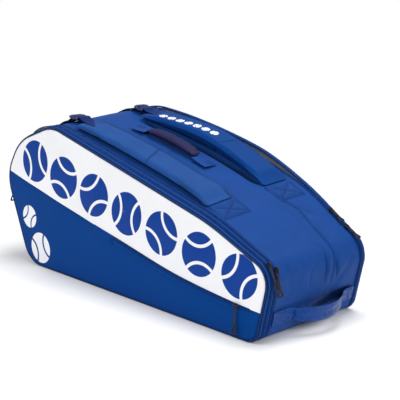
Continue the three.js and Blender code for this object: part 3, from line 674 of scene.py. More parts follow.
# Folds of the gusset: start and end as (s, y), width and height; a negative height is a crease.
FOLDS = [
    ((916, 48), (964, 66), 5, -3.8),
    ((958, 65), (1004, 58), 5, -3.8),
    ((1000, 58), (1084, 54), 4.5, -3.6),
    ((1080, 54), (1128, 66), 4.0, -3.4),
    ((950, 58), (1100, 74), 16, 2.4),
    ((1070, 27), (1122, 24), 3.6, -3.0),
    ((1066, 38), (1124, 36), 9, 1.8),
    ((1074, 50), (1130, 46), 3.2, -2.6),
    ((1092, -22), (1126, -26), 4, -1.4),
    ((1046, 10), (1064, 30), 4, -1.2),
    ((960, 70), (985, 96), 4, -1.5),
    ((1150, -112), (1160, 125), 3.2, -1.8),
    ((1172, 6), (1160, 104), 9, -5.0),
    ((1168, -100), (1176, -20), 12, 1.6),
    ((940, -38), (1040, -58), 14, -1.5),
    ((1010, -100), (1110, -84), 9, -1.4),
    ((1120, -60), (1150, 40), 12, 2.4),
    ((1100, 96), (1150, 60), 8, -1.8),
    ((300, -118), (340, -40), 12, 1.5),
    ((240, -60), (330, 70), 14, -1.6),
    ((150, 30), (260, 90), 16, 1.8),
    ((120, -90), (240, -30), 14, -1.4),
    ((60, 40), (140, 100), 12, -1.2),
]
SHARPEST_FOLD, CREASE_WIDTH = -1.9, 6
# Line along the gusset behind the haul handle, which shades the cloth round it.
HAUL_SHADE = (1176, 8), (1160, 112)
TOP_FADES = (985, 1060)
FRONT_GUTTER = {"y": -119, "width": 5.5, "deep": 6.5, "fades": (880, 930)}
REAR_GUTTER = {"y": 49, "width": 5, "deep": 13, "run": (500, 560, 820, 885)}
SEAM_DEPTH, BAND_HALF = 0.9, 42


def segment_distance(s, y, start, end):
    a, b = np.array(start, float), np.array(end, float) - np.array(start, float)
    t = ((s - a[0]) * b[0] + (y - a[1]) * b[1]) / (b @ b)
    held = np.clip(t, 0, 1)
    return np.hypot(s - a[0] - held * b[0], y - a[1] - held * b[1]), held


def is_crease(width, height):
    return height < SHARPEST_FOLD and width < CREASE_WIDTH


def ripple(s, y, size, seed):
    """Smooth unevenness from -1 to 1, with features about size mm across."""
    draw = np.random.default_rng(seed)
    total = 0
    for _ in range(9):
        angle, scale, phase = draw.uniform(0, math.pi), draw.uniform(0.6, 1.6), draw.uniform(0, 2 * math.pi)
        way = s * math.cos(angle) + y * math.sin(angle)
        total = total + np.sin(way * 2 * math.pi * scale / size + phase)
    return total / 5


def near_top(s):
    """1 along the top, 0 at the two ends of the bag."""
    return between(s, PATH_S[HEADMOST] + 40, PATH_S[HEADMOST] + 120, *TOP_FADES)


def gutters(s, y):
    """Share of the hollow beside the front zip, and of the one beneath the rear strap's inner edge."""
    front = bell(y - FRONT_GUTTER["y"], FRONT_GUTTER["width"]) * near_top(s)
    rear = bell(y - REAR_GUTTER["y"], REAR_GUTTER["width"])
    return front * (1 - smoothstep(*FRONT_GUTTER["fades"], s)), rear * between(s, *REAR_GUTTER["run"])


def gusset_height(s, y):
    """How far the slack outer cloth of the gusset stands off its flat surface."""
    s, y = np.broadcast_arrays(np.asarray(s, float), np.asarray(y, float))
    x = profile(s)[0]
    ends = 1 - near_top(s)
    h = -0.8 + 1.1 * ripple(s, y, 90, 3) * (0.35 + 0.65 * ends) + 0.35 * ripple(s, y, 34, 5) * ends
    deepest = 0.0
    for start, end, width, height in FOLDS:
        d, t = segment_distance(s, y, start, end)
        fold = height * bell(d, width) * np.sin(math.pi * (0.12 + 0.76 * t)) ** 0.7
        if is_crease(width, height):
            deepest = np.minimum(deepest, fold)
        else:
            h = h + fold
    h = h + deepest
    for strap in STRAPS.values():
        start, end = strap["start"], PATCH[0]
        along = between(x, start - 30, start + 30, end - 40, end + 5) * near_top(s)
        under = np.abs(y - strap["y"]) / (STRAP_WIDTH / 2)
        h = h - along * (1.0 + 1.2 * bell(under - 1, 0.3) + 3.2 * bell(under - 1.05, 0.1))
    front_gutter, rear_gutter = gutters(s, y)
    h = h - FRONT_GUTTER["deep"] * front_gutter - REAR_GUTTER["deep"] * rear_gutter
    h = h - SEAM_DEPTH * bell(s - HEAD_SEAM, 2.2) + 0.5 * bell(np.abs(s - HEAD_SEAM) - 8, 5)
    for seam in BAND_SEAMS:
        h = h - SEAM_DEPTH * bell(s - seam, 1.8) * (np.abs(y) < BAND_HALF)
    return h


def painted_shade(s, y):
    """Painted shade: darker cloth in the gutters, in the sharp creases and behind the haul handle."""
    front, rear = gutters(s, y)
    dark = np.maximum(1.0 * front, 1.9 * smoothstep(0.1, 0.5, rear))
    for start, end, width, height in FOLDS:
        if is_crease(width, height):
            d, t = segment_distance(s, y, start, end)
            held = smoothstep(0, 0.2, np.minimum(t, 1 - t) + 0.05)
            dark = np.maximum(dark, 1.1 * bell(d, 0.6 * width) * held)
    d, _ = segment_distance(s, y, *HAUL_SHADE)
    return np.maximum(dark, 1.9 * (1 - smoothstep(4, 13, d)))


def gusset_section(share, sewn):
    """across() of a gusset panel; sewn holds the stations where its end is turned under."""

    def across(s):
        rear = gusset_rear_y(s)
        y = GUSSET_FRONT_Y + (rear - GUSSET_FRONT_Y) * share
        side = np.minimum(y - GUSSET_FRONT_Y, rear - y)
        lift = gusset_height(s, y) * smoothstep(-2, 12, side)
        rolled = 0.9 * (1 - smoothstep(0, 1.6, side))
        for at in sewn:
            rolled = rolled + 0.9 * (1 - smoothstep(0, 1.2, np.abs(s - at)))
        top = lift * smoothstep(0, 14, profile(s)[1]) - rolled
        return y, top, np.minimum(top - 1.0, -FABRIC)

    return across


def make_gusset_panel(name, start, end, step):
    share = np.concatenate([[0, 0.006], np.linspace(0.02, 0.98, int(240 / step)), [0.994, 1]])
    near_ends = [start + 0.5, start + 1.4, end - 0.5, end - 1.4]
    s = np.sort(np.concatenate([stations(start, end, step), near_ends]))
    sewn = [q for q in (start, end) if abs(q - END_SEAM) > 1]
    across = gusset_section(share, sewn)
    rings, cloth = band_rings(s, across)
    y = np.concatenate([across(s[:, None])[0]] * 2, 1)
    rim = np.minimum(np.abs(y - GUSSET_FRONT_Y), np.abs(gusset_rear_y(s)[:, None] - y))
    for at in sewn:
        rim = np.minimum(rim, np.abs(s - at)[:, None])
    # Painted shade in the edge attribute: darker within 3.5 mm of the panel's seams and rims, and in the
    # gutters, creases and round the haul handle.
    edge = np.maximum(1 - smoothstep(0, 3.5, rim), painted_shade(s[:, None] + 0 * y, y))
    panel = loft(f"{name}_panel", rings, False, cloth, edge, strip_ends=True)
    finish_piece(panel, "bag_body", blue_fabric, [f"{name}_gusset"])


def make_gusset():
    gap, hair = 0.15, 0.01
    make_gusset_panel("head_end", 0, HEAD_SEAM - gap, 3.6)
    make_gusset_panel("top", HEAD_SEAM + gap, END_SEAM - hair, 2.6)
    make_gusset_panel("handle_end", END_SEAM + hair, LENGTH, 2.2)


# ---- Zips -----------------------------------------------------------------------------------------

FRAME_ZIP_Y, COVER_ZIP_Y, REAR_ZIP_Y, TAPE_WIDTH = -125.05, -138.15, 137.45, 4.6
TOOTH, ZIP_GAP = 2.1, 0.15


def tooth_swell(s, side):
    """How full a coil is along s, 0 to 1; the teeth of the two sides alternate."""
    return 0.5 + 0.5 * np.cos(2 * math.pi * s / TOOTH + (0 if side > 0 else math.pi))


def coil_rings(s, meeting, side, place):
    """A half zip's coil: a rounded tooth in every pitch, tipped towards the meeting line."""
    swell = tooth_swell(s, side)
    tall = smoothstep(4, 16, profile(s)[1])
    inner = meeting + side * (0.42 - 0.34 * swell)
    rows = []
    for share, level in ((0.0, -0.3), (0.0, 0.45), (0.3, 0.9), (0.72, 1.0), (1.0, 0.5), (1.0, -0.3)):
        y = inner + side * share * (2.35 - 0.3 * (1 - swell))
        rows.append(place(s, y, level * (0.75 + 1.05 * swell) * tall if level > 0 else level))
    return np.stack(rows, 1)


def make_zip_half(node, body, meeting_at, side, place=on_gusset):
    s = stations(1.5, LENGTH - 1.5, 3.0)
    share = np.array([0.0, 0.06, 0.3, 0.6, 0.9, 1.0])

    def across(s):
        y = meeting_at(s) + side * (ZIP_GAP + TAPE_WIDTH * share)
        return y, 0.25 * np.sin(math.pi * share) + 0.05, -0.9

    tape = band(f"{node}_tape", s, across, place)
    finish_piece(tape, body, tape_fabric, [node])
    fine = np.arange(6.0, LENGTH - 6.0, TOOTH / 4)
    coil = loft(f"{node}_coil", coil_rings(fine, meeting_at(fine), side, place), smooth=70)
    finish_piece(coil, body, coil_nylon)


def make_zips():
    fixed = lambda value: (lambda s: value + 0 * s)
    make_zip_half("front_gusset_zip_half", "bag_body", fixed(FRAME_ZIP_Y), 1)
    make_zip_half("front_frame_inner_zip_half", "front_frame", fixed(FRAME_ZIP_Y), -1)
    make_zip_half("front_frame_outer_zip_half", "front_frame", fixed(COVER_ZIP_Y), 1)
    make_zip_half("front_cover_zip_half", "front_cover", fixed(COVER_ZIP_Y), -1)
    rear = lambda s: gusset_rear_y(s) + 0.3 + TAPE_WIDTH + ZIP_GAP
    make_zip_half("rear_gusset_zip_half", "bag_body", rear, -1)
    make_zip_half("rear_cover_zip_half", "rear_cover", fixed(REAR_ZIP_Y), 1, on_rear_cover)


# ---- Covers and front frame -----------------------------------------------------------------------

FRONT_WALL, REAR_WALL, FRAME_STRIP = (-146.7, -143.2), (142.5, 146.6), (-133.1, -130.1)
PIPING_RADIUS, PANEL_INSET, PANEL_BULGE = 1.8, 4.6, 7
BASE_THICKNESS = 3.4
SEAM_BEND, SEAM_SLOPE, SEAM_RADIUS = (60, 103), -0.215, 2000
SEAM_TURN = math.atan(SEAM_SLOPE)
SEAM_CENTRE = (
    SEAM_BEND[0] - SEAM_RADIUS * math.sin(SEAM_TURN),
    SEAM_BEND[1] + SEAM_RADIUS * math.cos(SEAM_TURN),
)
LOOP_MIDDLE = np.array([-20.0, 140.0])


def seam_height(x):
    x = np.asarray(x, float)
    arc = SEAM_CENTRE[1] - np.sqrt(SEAM_RADIUS**2 - (np.maximum(x, SEAM_BEND[0]) - SEAM_CENTRE[0]) ** 2)
    return np.where(x < SEAM_BEND[0], SEAM_BEND[1] + SEAM_SLOPE * (x - SEAM_BEND[0]), arc)


def seam_way(x):
    step = 0.5
    climb = seam_height(x + step) - seam_height(x - step)
    return unit(np.stack([2 * step + 0 * climb, climb], -1))


def rim_loop(y, inset, step=5.0):
    """The bag's outline at y, drawn in by inset and closed along the base, as points (x, z)."""
    s = stations(0, LENGTH, step)
    arch = on_gusset(s, y, -inset)[:, [0, 2]]
    base = arch[-1] + (arch[0] - arch[-1]) * np.linspace(0, 1, 122)[1:-1, None]
    return np.concatenate([arch, base])


def loop_share(x, z, loop):
    """0 at the loop's middle, 1 on the loop."""
    ray = np.stack([x, z], -1) - LOOP_MIDDLE
    rim = loop - LOOP_MIDDLE
    angle = np.arctan2(rim[:, 1], rim[:, 0])
    order = np.argsort(angle)
    reach = np.linalg.norm(rim, axis=1)[order]
    far = np.interp(np.arctan2(ray[..., 1], ray[..., 0]), angle[order], reach, period=2 * math.pi)
    return np.minimum(1, np.linalg.norm(ray, axis=-1) / far)


def part_of_loop(loop, side):
    """The part of a loop above the seam (side 1) or below it (side -1), closed along the seam."""
    clear = side * (loop[:, 1] - seam_height(loop[:, 0])) - 0.15
    first = int(np.nonzero((clear > 0) & (np.roll(clear, 1) <= 0))[0][0])
    turned, clear = np.roll(loop, -first, 0), np.roll(clear, -first)
    kept = turned[: int(np.argmax(clear <= 0))]
    before, after = turned[-1], turned[len(kept)]
    c_before, c_first, c_last, c_after = clear[-1], clear[0], clear[len(kept) - 1], clear[len(kept)]
    entry = kept[0] + (before - kept[0]) * c_first / (c_first - c_before)
    leave = kept[-1] + (after - kept[-1]) * c_last / (c_last - c_after)
    x = np.linspace(leave[0], entry[0], 150)[1:-1]
    seam = np.stack([x, seam_height(x) + side * 0.15], -1)
    return np.concatenate([entry[None], kept, leave[None], seam])


def outer_depth(side, loop, leaning):
    """y of a cover's outer face at x and z."""

    def depth(x, z):
        share = loop_share(x, z, loop)
        soft = 0.9 * ripple(x, z, 170, 11 + side) * (1 - share**4)
        full = PANEL_BULGE * (1 - share**3) + soft
        return side * (HALF_WIDTH + full) + (rear_lean(x, z) if leaning else 0)

    return depth


def sheet_piece(name, loop, depth, side, thick, sink=0.0, rolled=1.4, rings=20):
    """Sheet that fills a loop: outer face at depth + sink inwards, with its rim rolled under."""
    middle = loop.mean(0)
    share = 1 - (1 - np.linspace(0, 1, rings + 1)[1:]) ** 1.6
    xz = middle + (loop - middle)[None] * share[:, None, None]
    rim = np.linalg.norm(loop - middle, axis=1)[None] * (1 - share[:, None])
    y = depth(xz[..., 0], xz[..., 1])
    outer = y - side * (sink + rolled * (1 - smoothstep(0, 3.2, rim)))
    inner = y - side * (sink + thick) + 0 * outer
    face = lambda v: np.stack([xz[..., 0], v, xz[..., 1]], -1)
    # Painted shade: darker within 5 mm of the rim, where the sheet rolls under.
    edge = 1 - smoothstep(0, 5, rim)
    all_rings = np.concatenate([face(outer), face(inner)[::-1]])
    cloth = np.concatenate([xz, xz[::-1]])
    return loft(name, all_rings, False, cloth, np.concatenate([edge, edge[::-1]]), smooth=50)


def make_piping(name, body, rim_y, leaning, node):
    loop = rim_loop(rim_y, PIPING_RADIUS + 0.6, 4.0)
    x, z = loop.T
    y = np.sign(rim_y) * (HALF_WIDTH - PIPING_RADIUS - 0.2) + (rear_lean(x, z) if leaning else 0)
    path = np.stack([x, y + 0 * x, z], -1)
    obj = loft(name, tube_rings(path, PIPING_RADIUS, 10, closed=True), True)
    finish_piece(obj, body, piping_cloth, [node])


def make_wall(name, body, edges, place, node):
    s = stations(0.5, LENGTH - 0.5, 3.0)
    obj = band(name, s, rounded_strip(*edges, 0.9, -FABRIC, 8, 3), place, smooth=60)
    finish_piece(obj, body, blue_fabric, [node])


def zip_welt(x, z):
    """How far the flat welt under the pocket's zip stands off the panel."""
    across = z - seam_height(x)
    return 0.9 * between(x, -30, -22, 312, 330) * between(across, -16.2, -14.6, -6.4, -5.2)


def make_cover(side, upper, lower, body, prefix, leaning):
    rim_y = side * HALF_WIDTH
    depth = outer_depth(side, rim_loop(rim_y, 0), leaning)
    panel_loop = rim_loop(rim_y, PANEL_INSET)
    halves = (1, upper, white_print, "white_fabric"), (-1, lower, corner_print, "blue_fabric")
    for half, node, material, slot in halves:
        loop = part_of_loop(panel_loop, half)
        welted = lambda x, z: depth(x, z) + side * zip_welt(x, z)
        face = welted if node == "front_pocket" else depth
        panel = sheet_piece(f"{node}_cloth", loop, face, side, FABRIC, rings=60)
        finish_piece(panel, body, material, [f"{node}_panel"])
        lining = sheet_piece(f"{node}_inside", loop, depth, side, 0.7, FABRIC + 0.35, 0.2)
        finish_piece(lining, body, grey_lining, [f"{node}_lining"])
    make_piping(f"{prefix}_edge_piping", body, rim_y, leaning, f"{prefix}_piping")
    x = np.linspace(-352, 352, 240)
    x = x[(x > part_of_loop(panel_loop, 1)[:, 0].min() + 8) & (x < 345)]
    z = seam_height(x) - 2.6
    thread[body].row(np.stack([x, depth(x, z) + side * 0.15, z], -1), [0, side, 0])
    return depth


def make_covers():
    make_wall("front_cover_edge", "front_cover", FRONT_WALL, on_gusset, "front_cover_wall")
    make_wall("rear_cover_edge", "rear_cover", REAR_WALL, on_rear_cover, "rear_cover_wall")
    make_wall("front_frame_edge", "front_frame", FRAME_STRIP, on_gusset, "front_frame_strip")
    front = make_cover(-1, "front_upper", "front_pocket", "front_cover", "front", False)
    make_cover(1, "rear_upper", "rear_lower", "rear_cover", "rear", True)
    for name, y, thick, body, inset, pad in (
        ("centre_divider", 0, 3.0, "bag_body", FABRIC + BASE_THICKNESS + 0.6, 0.3),
        ("front_frame_divider", -131.0, 1.2, "front_frame", BASE_THICKNESS + 0.6, None),
    ):
        depth = lambda x, z, y=y, thick=thick: y - thick / 2 + 0.5 * ripple(x, z, 150, 21)
        loop = rim_loop(FRAME_STRIP[0] if y else 0, inset)
        obj = sheet_piece(f"{name}_cloth", loop, depth, -1, thick, 0, 0.3, 24)
        finish_piece(obj, body, grey_lining, [name])
    return front


# ---- Pocket zip on the front cover ----------------------------------------------------------------

POCKET_ZIP = {"start": -24, "end": 336, "half": 4.5, "above": 1.9, "proud": 2.2}
GARAGE_LENGTH, GARAGE_DROP = 60, 19
POCKET_SLIDER_X = 307


def on_seam(x, across, off, depth):
    """Points on the front cover, across mm above the panels' seam at x and off mm proud of them."""
    x, across, off = [v.astype(float) for v in np.broadcast_arrays(x, across, off)]
    way = seam_way(x)
    px, pz = x - way[..., 1] * across, seam_height(x) + way[..., 0] * across
    return np.stack([px, depth(px, pz) - off, pz], -1)


def strip_on_seam(name, x, up, proud, under, depth):
    """Closed strip along the panels' seam, from under to proud mm off the panels."""
    outer, inner = [on_seam(x[:, None], up, off, depth) for off in (proud, under)]
    return shell(name, outer, inner, x[:, None], up)


def make_pocket_coil(name, side, depth):
    x = np.arange(POCKET_ZIP["start"] + 2.0, POCKET_ZIP["end"] - 2.0, TOOTH / 4)
    swell = tooth_swell(x, side)
    rows = []
    for part, level in ((0.0, 0.2), (0.0, 0.55), (0.35, 0.95), (0.75, 1.0), (1.0, 0.5), (1.0, 0.2)):
        across = side * (0.4 - 0.36 * swell + part * 1.7)
        rows.append(on_seam(x, across, 0.7 + level * (0.35 + 0.75 * swell), depth))
    coil = loft(name, np.stack(rows, 1), smooth=70)
    finish_piece(coil, "front_cover", coil_nylon)


def make_pocket_flap(depth):
    x = stations(POCKET_ZIP["start"] - GARAGE_LENGTH, POCKET_ZIP["start"] - 0.4, 1.0)
    up = np.linspace(-GARAGE_DROP, POCKET_ZIP["above"], 30)
    round_over = lambda v: (1 - np.abs(2 * (v - v.min()) / (v.max() - v.min()) - 1) ** 6) ** 0.5
    off = 0.4 + 1.1 * round_over(up)[None] * round_over(x)[:, None]
    off = off + 0.5 * smoothstep(x[-1] - 16, x[-1] - 2, x)[:, None] * round_over(up)[None]
    flap = strip_on_seam("pocket_zip_flap", x, up, off, -0.3, depth)
    finish_piece(flap, "front_cover", corner_print, ["pocket_zip_garage"])


def make_pocket_zip(depth):
    start, end, half = POCKET_ZIP["start"], POCKET_ZIP["end"], POCKET_ZIP["half"]
    up = np.linspace(-half, POCKET_ZIP["above"], 13)
    rising = [0.2, 0.85, 1.05, 1.05, 0.95, 0.9]
    lift = np.array(rising + [0.9] + rising[::-1])
    tape = strip_on_seam("pocket_zip_tape", stations(start, end, 3.0), up, lift, -0.4, depth)
    finish_piece(tape, "front_cover", tape_fabric, ["pocket_zip"])
    make_pocket_coil("pocket_zip_coil_upper", 1, depth)
    make_pocket_coil("pocket_zip_coil_lower", -1, depth)
    make_pocket_flap(depth)
    flap_rows = [((-82, -16), (-28, -16)), ((-28, -16), (-28, 0)), ((-31, 0), (-31, -13))]
    rows = [(a, b, 2.05, 24) for a, b in flap_rows]
    rows += [((start, up), (end - 20, up), off, 160) for up, off in ((-half - 1.9, 0.9), (-13.4, 1.0))]
    for (xa, ua), (xb, ub), off, count in rows:
        t = np.linspace(0, 1, count)
        thread["front_cover"].row(on_seam(xa + (xb - xa) * t, ua + (ub - ua) * t, off, depth), [0, -1, 0])


# ---- Zip sliders and pulls ------------------------------------------------------------------------

SLIDER_LIFT, COIL_HEIGHT, SLIDER_WIDTH = 0.5, 2.0, 5.0
PIVOT = 3.65
HANGING_PULL, ZIP_PULL = 50, 34


def placed(points, origin, axes):
    """Local points put at origin along three axes, the rows of axes."""
    return np.asarray(origin) + np.asarray(points, float) @ np.asarray(axes)


def outline_rings(outline, levels):
    """Rings of an outline (k, 2) at each (height, scale) in levels."""
    outline = np.asarray(outline, float)
    return np.stack([np.column_stack([outline * scale, np.full(len(outline), z)]) for z, scale in levels])


def super_outline(length, width, power, count, waist=0.0):
    x, y = super_circle(count, 2 / power)
    x = x * length / 2
    return np.stack([x, y * width / 2 * (1 - waist * x / length)], -1)


def slider_body(width):
    """A slider's plate and the arch over it, as closed solids: x along the zip, z away from it."""
    plate = super_outline(13, width + 0.6, 3.2, 40, 0.3)
    plate = outline_rings(plate, [(0, 0.93), (0.25, 1), (1.5, 1), (1.9, 0.94), (2.0, 0.84)])
    half = [(-4.6, 0, 1.4), (-4.3, 0, 3.6), (-2.6, 0, 5.4)]
    corners = half + [(0, 0, 5.8)] + [(-x, y, z) for x, y, z in half[::-1]]
    arch = tube_rings(smooth_path(corners, 28), 1.25, 10, flat=0.5)
    return plate, arch * [1, 2.2, 1]


def pull_cord_rings(extra):
    """A pull's cord loop hanging down z from the slider's bar."""
    loop = [(0, 0, 0.6), (0.1, 2.2, -0.6), (0.1, 3.0, -3.6)]
    loop += [(0, 1.5, -10.5 - extra / 2), (0, 1.2, -17 - extra)]
    loop += [(x, -y, z) for x, y, z in loop[::-1][:-1]]
    return tube_rings(smooth_path(loop, 80), 1.0, 10, flat=0.85, normal=(1.0, 0, 0))


def pull_tip_rings(extra):
    """The crimp under a pull's cord, and the triangular ring that hangs from it."""
    levels = [(-20.5, 0.8), (-20, 1), (-15.6, 0.94), (-15.0, 0.74)]
    crimp = outline_rings(super_outline(3.2, 5.4, 3.5, 28), levels)
    half = [(0, 2.6, -23.5), (0, 5.6, -31.2), (0, 4.9, -32.9)]
    corners = [(0, 0, -19.2)] + half + [(0, 0, -33.1)] + [(x, -y, z) for x, y, z in half[::-1]]
    triangle = smooth_path(corners, 56, closed=True)
    thick = 1.45 + 0.3 * smoothstep(24, 31, -triangle[:, 2])
    ring = tube_rings(triangle, thick, 10, True, 0.85, normal=(1.0, 0, 0))
    return crimp - [0, 0, extra], ring - [0, 0, extra]


def make_slider(name, point, along, out, hang, bend=(0, 0)):
    """Slider and pull. bend is how far a hanging pull's tip droops towards the bag and along its bar."""
    across = np.cross(out, along)
    axes = np.array([along, across, out])
    origin = point + out * SLIDER_LIFT
    made = joined([loft_data(placed(rings, origin, axes)) for rings in slider_body(SLIDER_WIDTH)])
    slider = new_object(f"{name}_slider_body", *made, smooth=50)
    finish_piece(slider, f"{name}_slider", slider_metal, [f"{name}_slider"])

    pivot = point + out * (SLIDER_LIFT + PIVOT)
    if abs(hang @ across) > 0.5:
        pivot = pivot + hang * ((SLIDER_WIDTH + 1.6) / 2 + 0.6)
    up = -hang
    bar = unit(np.cross(up, out))
    axes = np.array([np.cross(bar, up), bar, up])
    extra = 0 if hang is along else HANGING_PULL - ZIP_PULL

    def drooped(points):
        share = np.clip(-points[..., 2:] / HANGING_PULL, 0, 1) ** 1.7
        return placed(points + share * [-bend[0], bend[1], 0], pivot, axes)

    cord = loft(f"{name}_pull_cord", drooped(pull_cord_rings(extra)))
    finish_piece(cord, f"{name}_pull", pull_cord, [f"{name}_pull"])
    crimp, ring = pull_tip_rings(extra)
    tip = new_object(
        f"{name}_pull_tip", *joined([loft_data(drooped(crimp)), loft_data(drooped(ring), True)]), smooth=50
    )
    finish_piece(tip, f"{name}_pull", pull_rubber)


def hanging(lean):
    angle = math.radians(lean)
    return np.array([math.sin(angle), 0, -math.cos(angle)])


def make_sliders(depth):
    beside = ZIP_GAP + SLIDER_WIDTH / 2
    rear = lambda x: float(gusset_rear_y(on_top(x)) + 0.3 + SLIDER_WIDTH / 2)
    places = [
        ("front_frame", on_top(363), FRAME_ZIP_Y + beside, hanging(15), (1, 0)),
        ("front_cover", on_top(356), COVER_ZIP_Y + beside, hanging(28), (-2, -2)),
        ("front_cover_head_end", on_head_end(175), COVER_ZIP_Y + beside, hanging(0), (0, 0)),
        ("rear_first", on_top(284), rear(284), None, (0, 0)),
        ("rear_second", on_top(328), rear(328), None, (0, 0)),
    ]
    for name, s, y, hang, bend in places:
        along, out = surface_frame(s, y)
        make_slider(name, on_gusset(s, y, COIL_HEIGHT), along, out, along if hang is None else hang, bend)
    x = np.array(POCKET_SLIDER_X, float)
    way, z = seam_way(x), seam_height(x)
    point = np.array([float(x), float(depth(x, z)) - POCKET_ZIP["proud"], float(z)])
    make_slider("pocket", point, np.array([way[0], 0, way[1]]), np.array([0, -1.0, 0]), hanging(0))


# ---- Padded pieces --------------------------------------------------------------------------------

CLOTH_FRAMES = 20

def remeshed(points, faces, voxel):
    """A working object of a solid, with an even mesh."""
    obj = new_object("being_made", points, faces)
    remesh = obj.modifiers.new("remesh", "REMESH")
    remesh.mode, remesh.voxel_size = "VOXEL", voxel * MM
    return obj


def read_back(obj):
    """A working object's points and faces as its modifiers leave them; the object is removed."""
    take_modifiers(obj)
    made = coordinates(obj) / MM, [list(p.vertices) for p in obj.data.polygons]
    bpy.data.objects.remove(obj)
    return made


def swell(obj, cap, pressure):
    """Swells a working object as cloth under pressure, no point moving more than cap mm."""
    rest = coordinates(obj)
    cloth = obj.modifiers.new("cloth", "CLOTH")
    settings = cloth.settings
    settings.quality, settings.mass = 6, 0.3
    settings.tension_stiffness = settings.compression_stiffness = settings.shear_stiffness = 15
    settings.bending_stiffness = 0.8
    settings.use_pressure, settings.uniform_pressure_force = True, pressure
    settings.effector_weights.gravity = 0
    cloth.point_cache.frame_start, cloth.point_cache.frame_end = 1, CLOTH_FRAMES
    for number in range(1, CLOTH_FRAMES + 1):
        bpy.context.scene.frame_set(number)
    take_modifiers(obj)
    moved = coordinates(obj) - rest
    far = np.linalg.norm(moved, axis=1, keepdims=True)
    moved *= np.minimum(1, cap * MM / np.maximum(far, 1e-9))
    obj.data.vertices.foreach_set("co", (rest + moved).astype(np.float32).ravel())
    bpy.context.scene.frame_set(1)


def inflate(points, faces, voxel, cap, pressure):
    """A padded piece's points and faces: the solid remeshed, swollen and subdivided."""
    obj = remeshed(points, faces, voxel)
    take_modifiers(obj)
    swell(obj, cap, pressure)
    obj.modifiers.new("divide", "SUBSURF").levels = 1
    return read_back(obj)


def take_modifiers(obj):
    """The evaluated mesh becomes the object's own, with no modifiers left."""
    graph = bpy.context.evaluated_depsgraph_get()
    mesh = bpy.data.meshes.new_from_object(obj.evaluated_get(graph))
    obj.modifiers.clear()
    obj.data = mesh


def coordinates(obj):
    co = np.zeros(len(obj.data.vertices) * 3, np.float32)
    obj.data.vertices.foreach_get("co", co)
    return co.reshape(-1, 3).astype(float)


def flat_pad(length, width_at, thick_at, count, sides, power):
    """A pad laid out flat: x along it, y across it and z from its underside, as closed sections."""
    a = np.linspace(0, length, count)
    y, z = super_circle(sides, 2 / power)
    width, thick = width_at(a)[:, None], thick_at(a)[:, None]
    points, faces = loft_data(np.stack([a[:, None] + 0 * y, y * width / 2, (z + 1) * thick / 2], -1))
    return points, outward(points, faces)


def blend_ends(held, moved, s0, s1, y, h):
    """Two bodies, and two points on the gusset at s0 and s1, given as a piece's blend."""
    start, end = on_gusset(s0, y, h), on_gusset(s1, y, h)
    return held, moved, tuple(start * MM), tuple(end * MM)


def strap_lift(strap, x):
    """How high a shoulder strap's underside stands over the gusset at x."""
    share = np.clip((x - strap["start"]) / (PATCH[0] - strap["start"]), 0, 1)
    return 0.5 + strap["slack"] * np.sin(math.pi * share) ** 2


def strap_outline(a, length):
    """Width of the shoulder strap a mm along it: its ends have rounded corners."""
    corner = np.where(a < length / 2, 16, 5)
    cut = np.maximum(corner - np.minimum(a, length - a), 0)
    return (STRAP_WIDTH - 3) - 2 * (corner - np.sqrt(np.maximum(corner**2 - cut**2, 0))) * 0.8


def strap_pad(length):
    """The shoulder strap's padding laid out flat: places along, across and up, and faces."""
    width_at = lambda a: strap_outline(a, length)
    thick_at = lambda a: 3.0 + 4.2 * smoothstep(0, 26, a) * (1 - 0.35 * smoothstep(length - 22, length, a))
    flat = flat_pad(length, width_at, thick_at, count=90, sides=40, power=4.5)
    points, faces = inflate(*flat, voxel=4.0, cap=5.0, pressure=2.6)
    a, b, c = points.T
    return np.clip(a, 0.2, length - 0.2), np.clip(b, -STRAP_WIDTH / 2 - 1, STRAP_WIDTH / 2 + 1), c, faces


def make_shoulder_strap(side, strap):
    first, last = on_top(strap["start"]), on_top(PATCH[0] - 0.1)
    length, middle = last - first, STRAP_PAD_MIDDLE
    a, b, c, faces = strap_pad(length)
    x = profile(first + a)[0]
    groove = bell(np.abs(b) - STRAP_WIDTH / 2 + STRAP_EDGE_ROW, 1.7)
    groove = groove * smoothstep(6, 14, np.minimum(a, length - a))
    near, far = strap["cross"]
    seam = bell(x - (near + (far - near) * (b / STRAP_WIDTH + 0.5)), 2.2)
    inner = 22 + 7.5 * smoothstep(length - 100, length - 20, a)
    channel = bell(b - inner, 1.8) * smoothstep(4, 12, a)
    # Painted shade: a dark line along the inner channel, darker rolled rims and a dark underside stand in
    # for the shade along and under the strap.
    line = np.maximum(1.9 * channel, 0.8 * smoothstep(29, 32, np.abs(b)))
    line = np.maximum(line, 1.9 * (1 - smoothstep(2.0, 3.6, c)))
    groove = np.maximum(groove, 0.8 * np.maximum(seam, channel))
    press = 1 - 0.35 * (1 - smoothstep(42, 54, a)) * (1 - smoothstep(13, 22, np.abs(b)))
    c = middle + (c - middle) * (1 - 0.42 * groove) * press
    c = c * (1 - 0.72 * smoothstep(length - 34, length - 1, a))
    c = c + 0.45 * ripple(a, b, 70, 31 + len(side)) * smoothstep(4, 8, c)
    hollow = np.where(c < middle, smoothstep(-0.5, middle, c), 1.0)
    height = strap_lift(strap, x) * (0.35 + 0.65 * hollow) + np.maximum(c, 0.0) + 0.4
    points = on_gusset(first + a, strap["y"] + b, height)
    # Painted shade also darkens the cross seam's groove.
    dark = np.maximum(line, 1.3 * seam)
    pad = new_object(f"{side}_strap_pad", points, faces, np.stack([a, b], -1), dark, 80)
    blend = blend_ends("bag_body", f"{side}_strap", last + 4, last - 55, strap["y"], 2)
    nodes = [f"{side}_shoulder_strap"]
    finish_piece(pad, f"{side}_strap", STRAP_CLOTH[side], nodes, blend)
    s = stations(first + 14, last - 60, 8)
    lift = strap_lift(strap, profile(s)[0]) + STRAP_THICKNESS - 1.0
    for edge in (-1, 1):
        thread[f"{side}_strap"].on(s, strap["y"] + edge * (STRAP_WIDTH / 2 - STRAP_EDGE_ROW), lift)


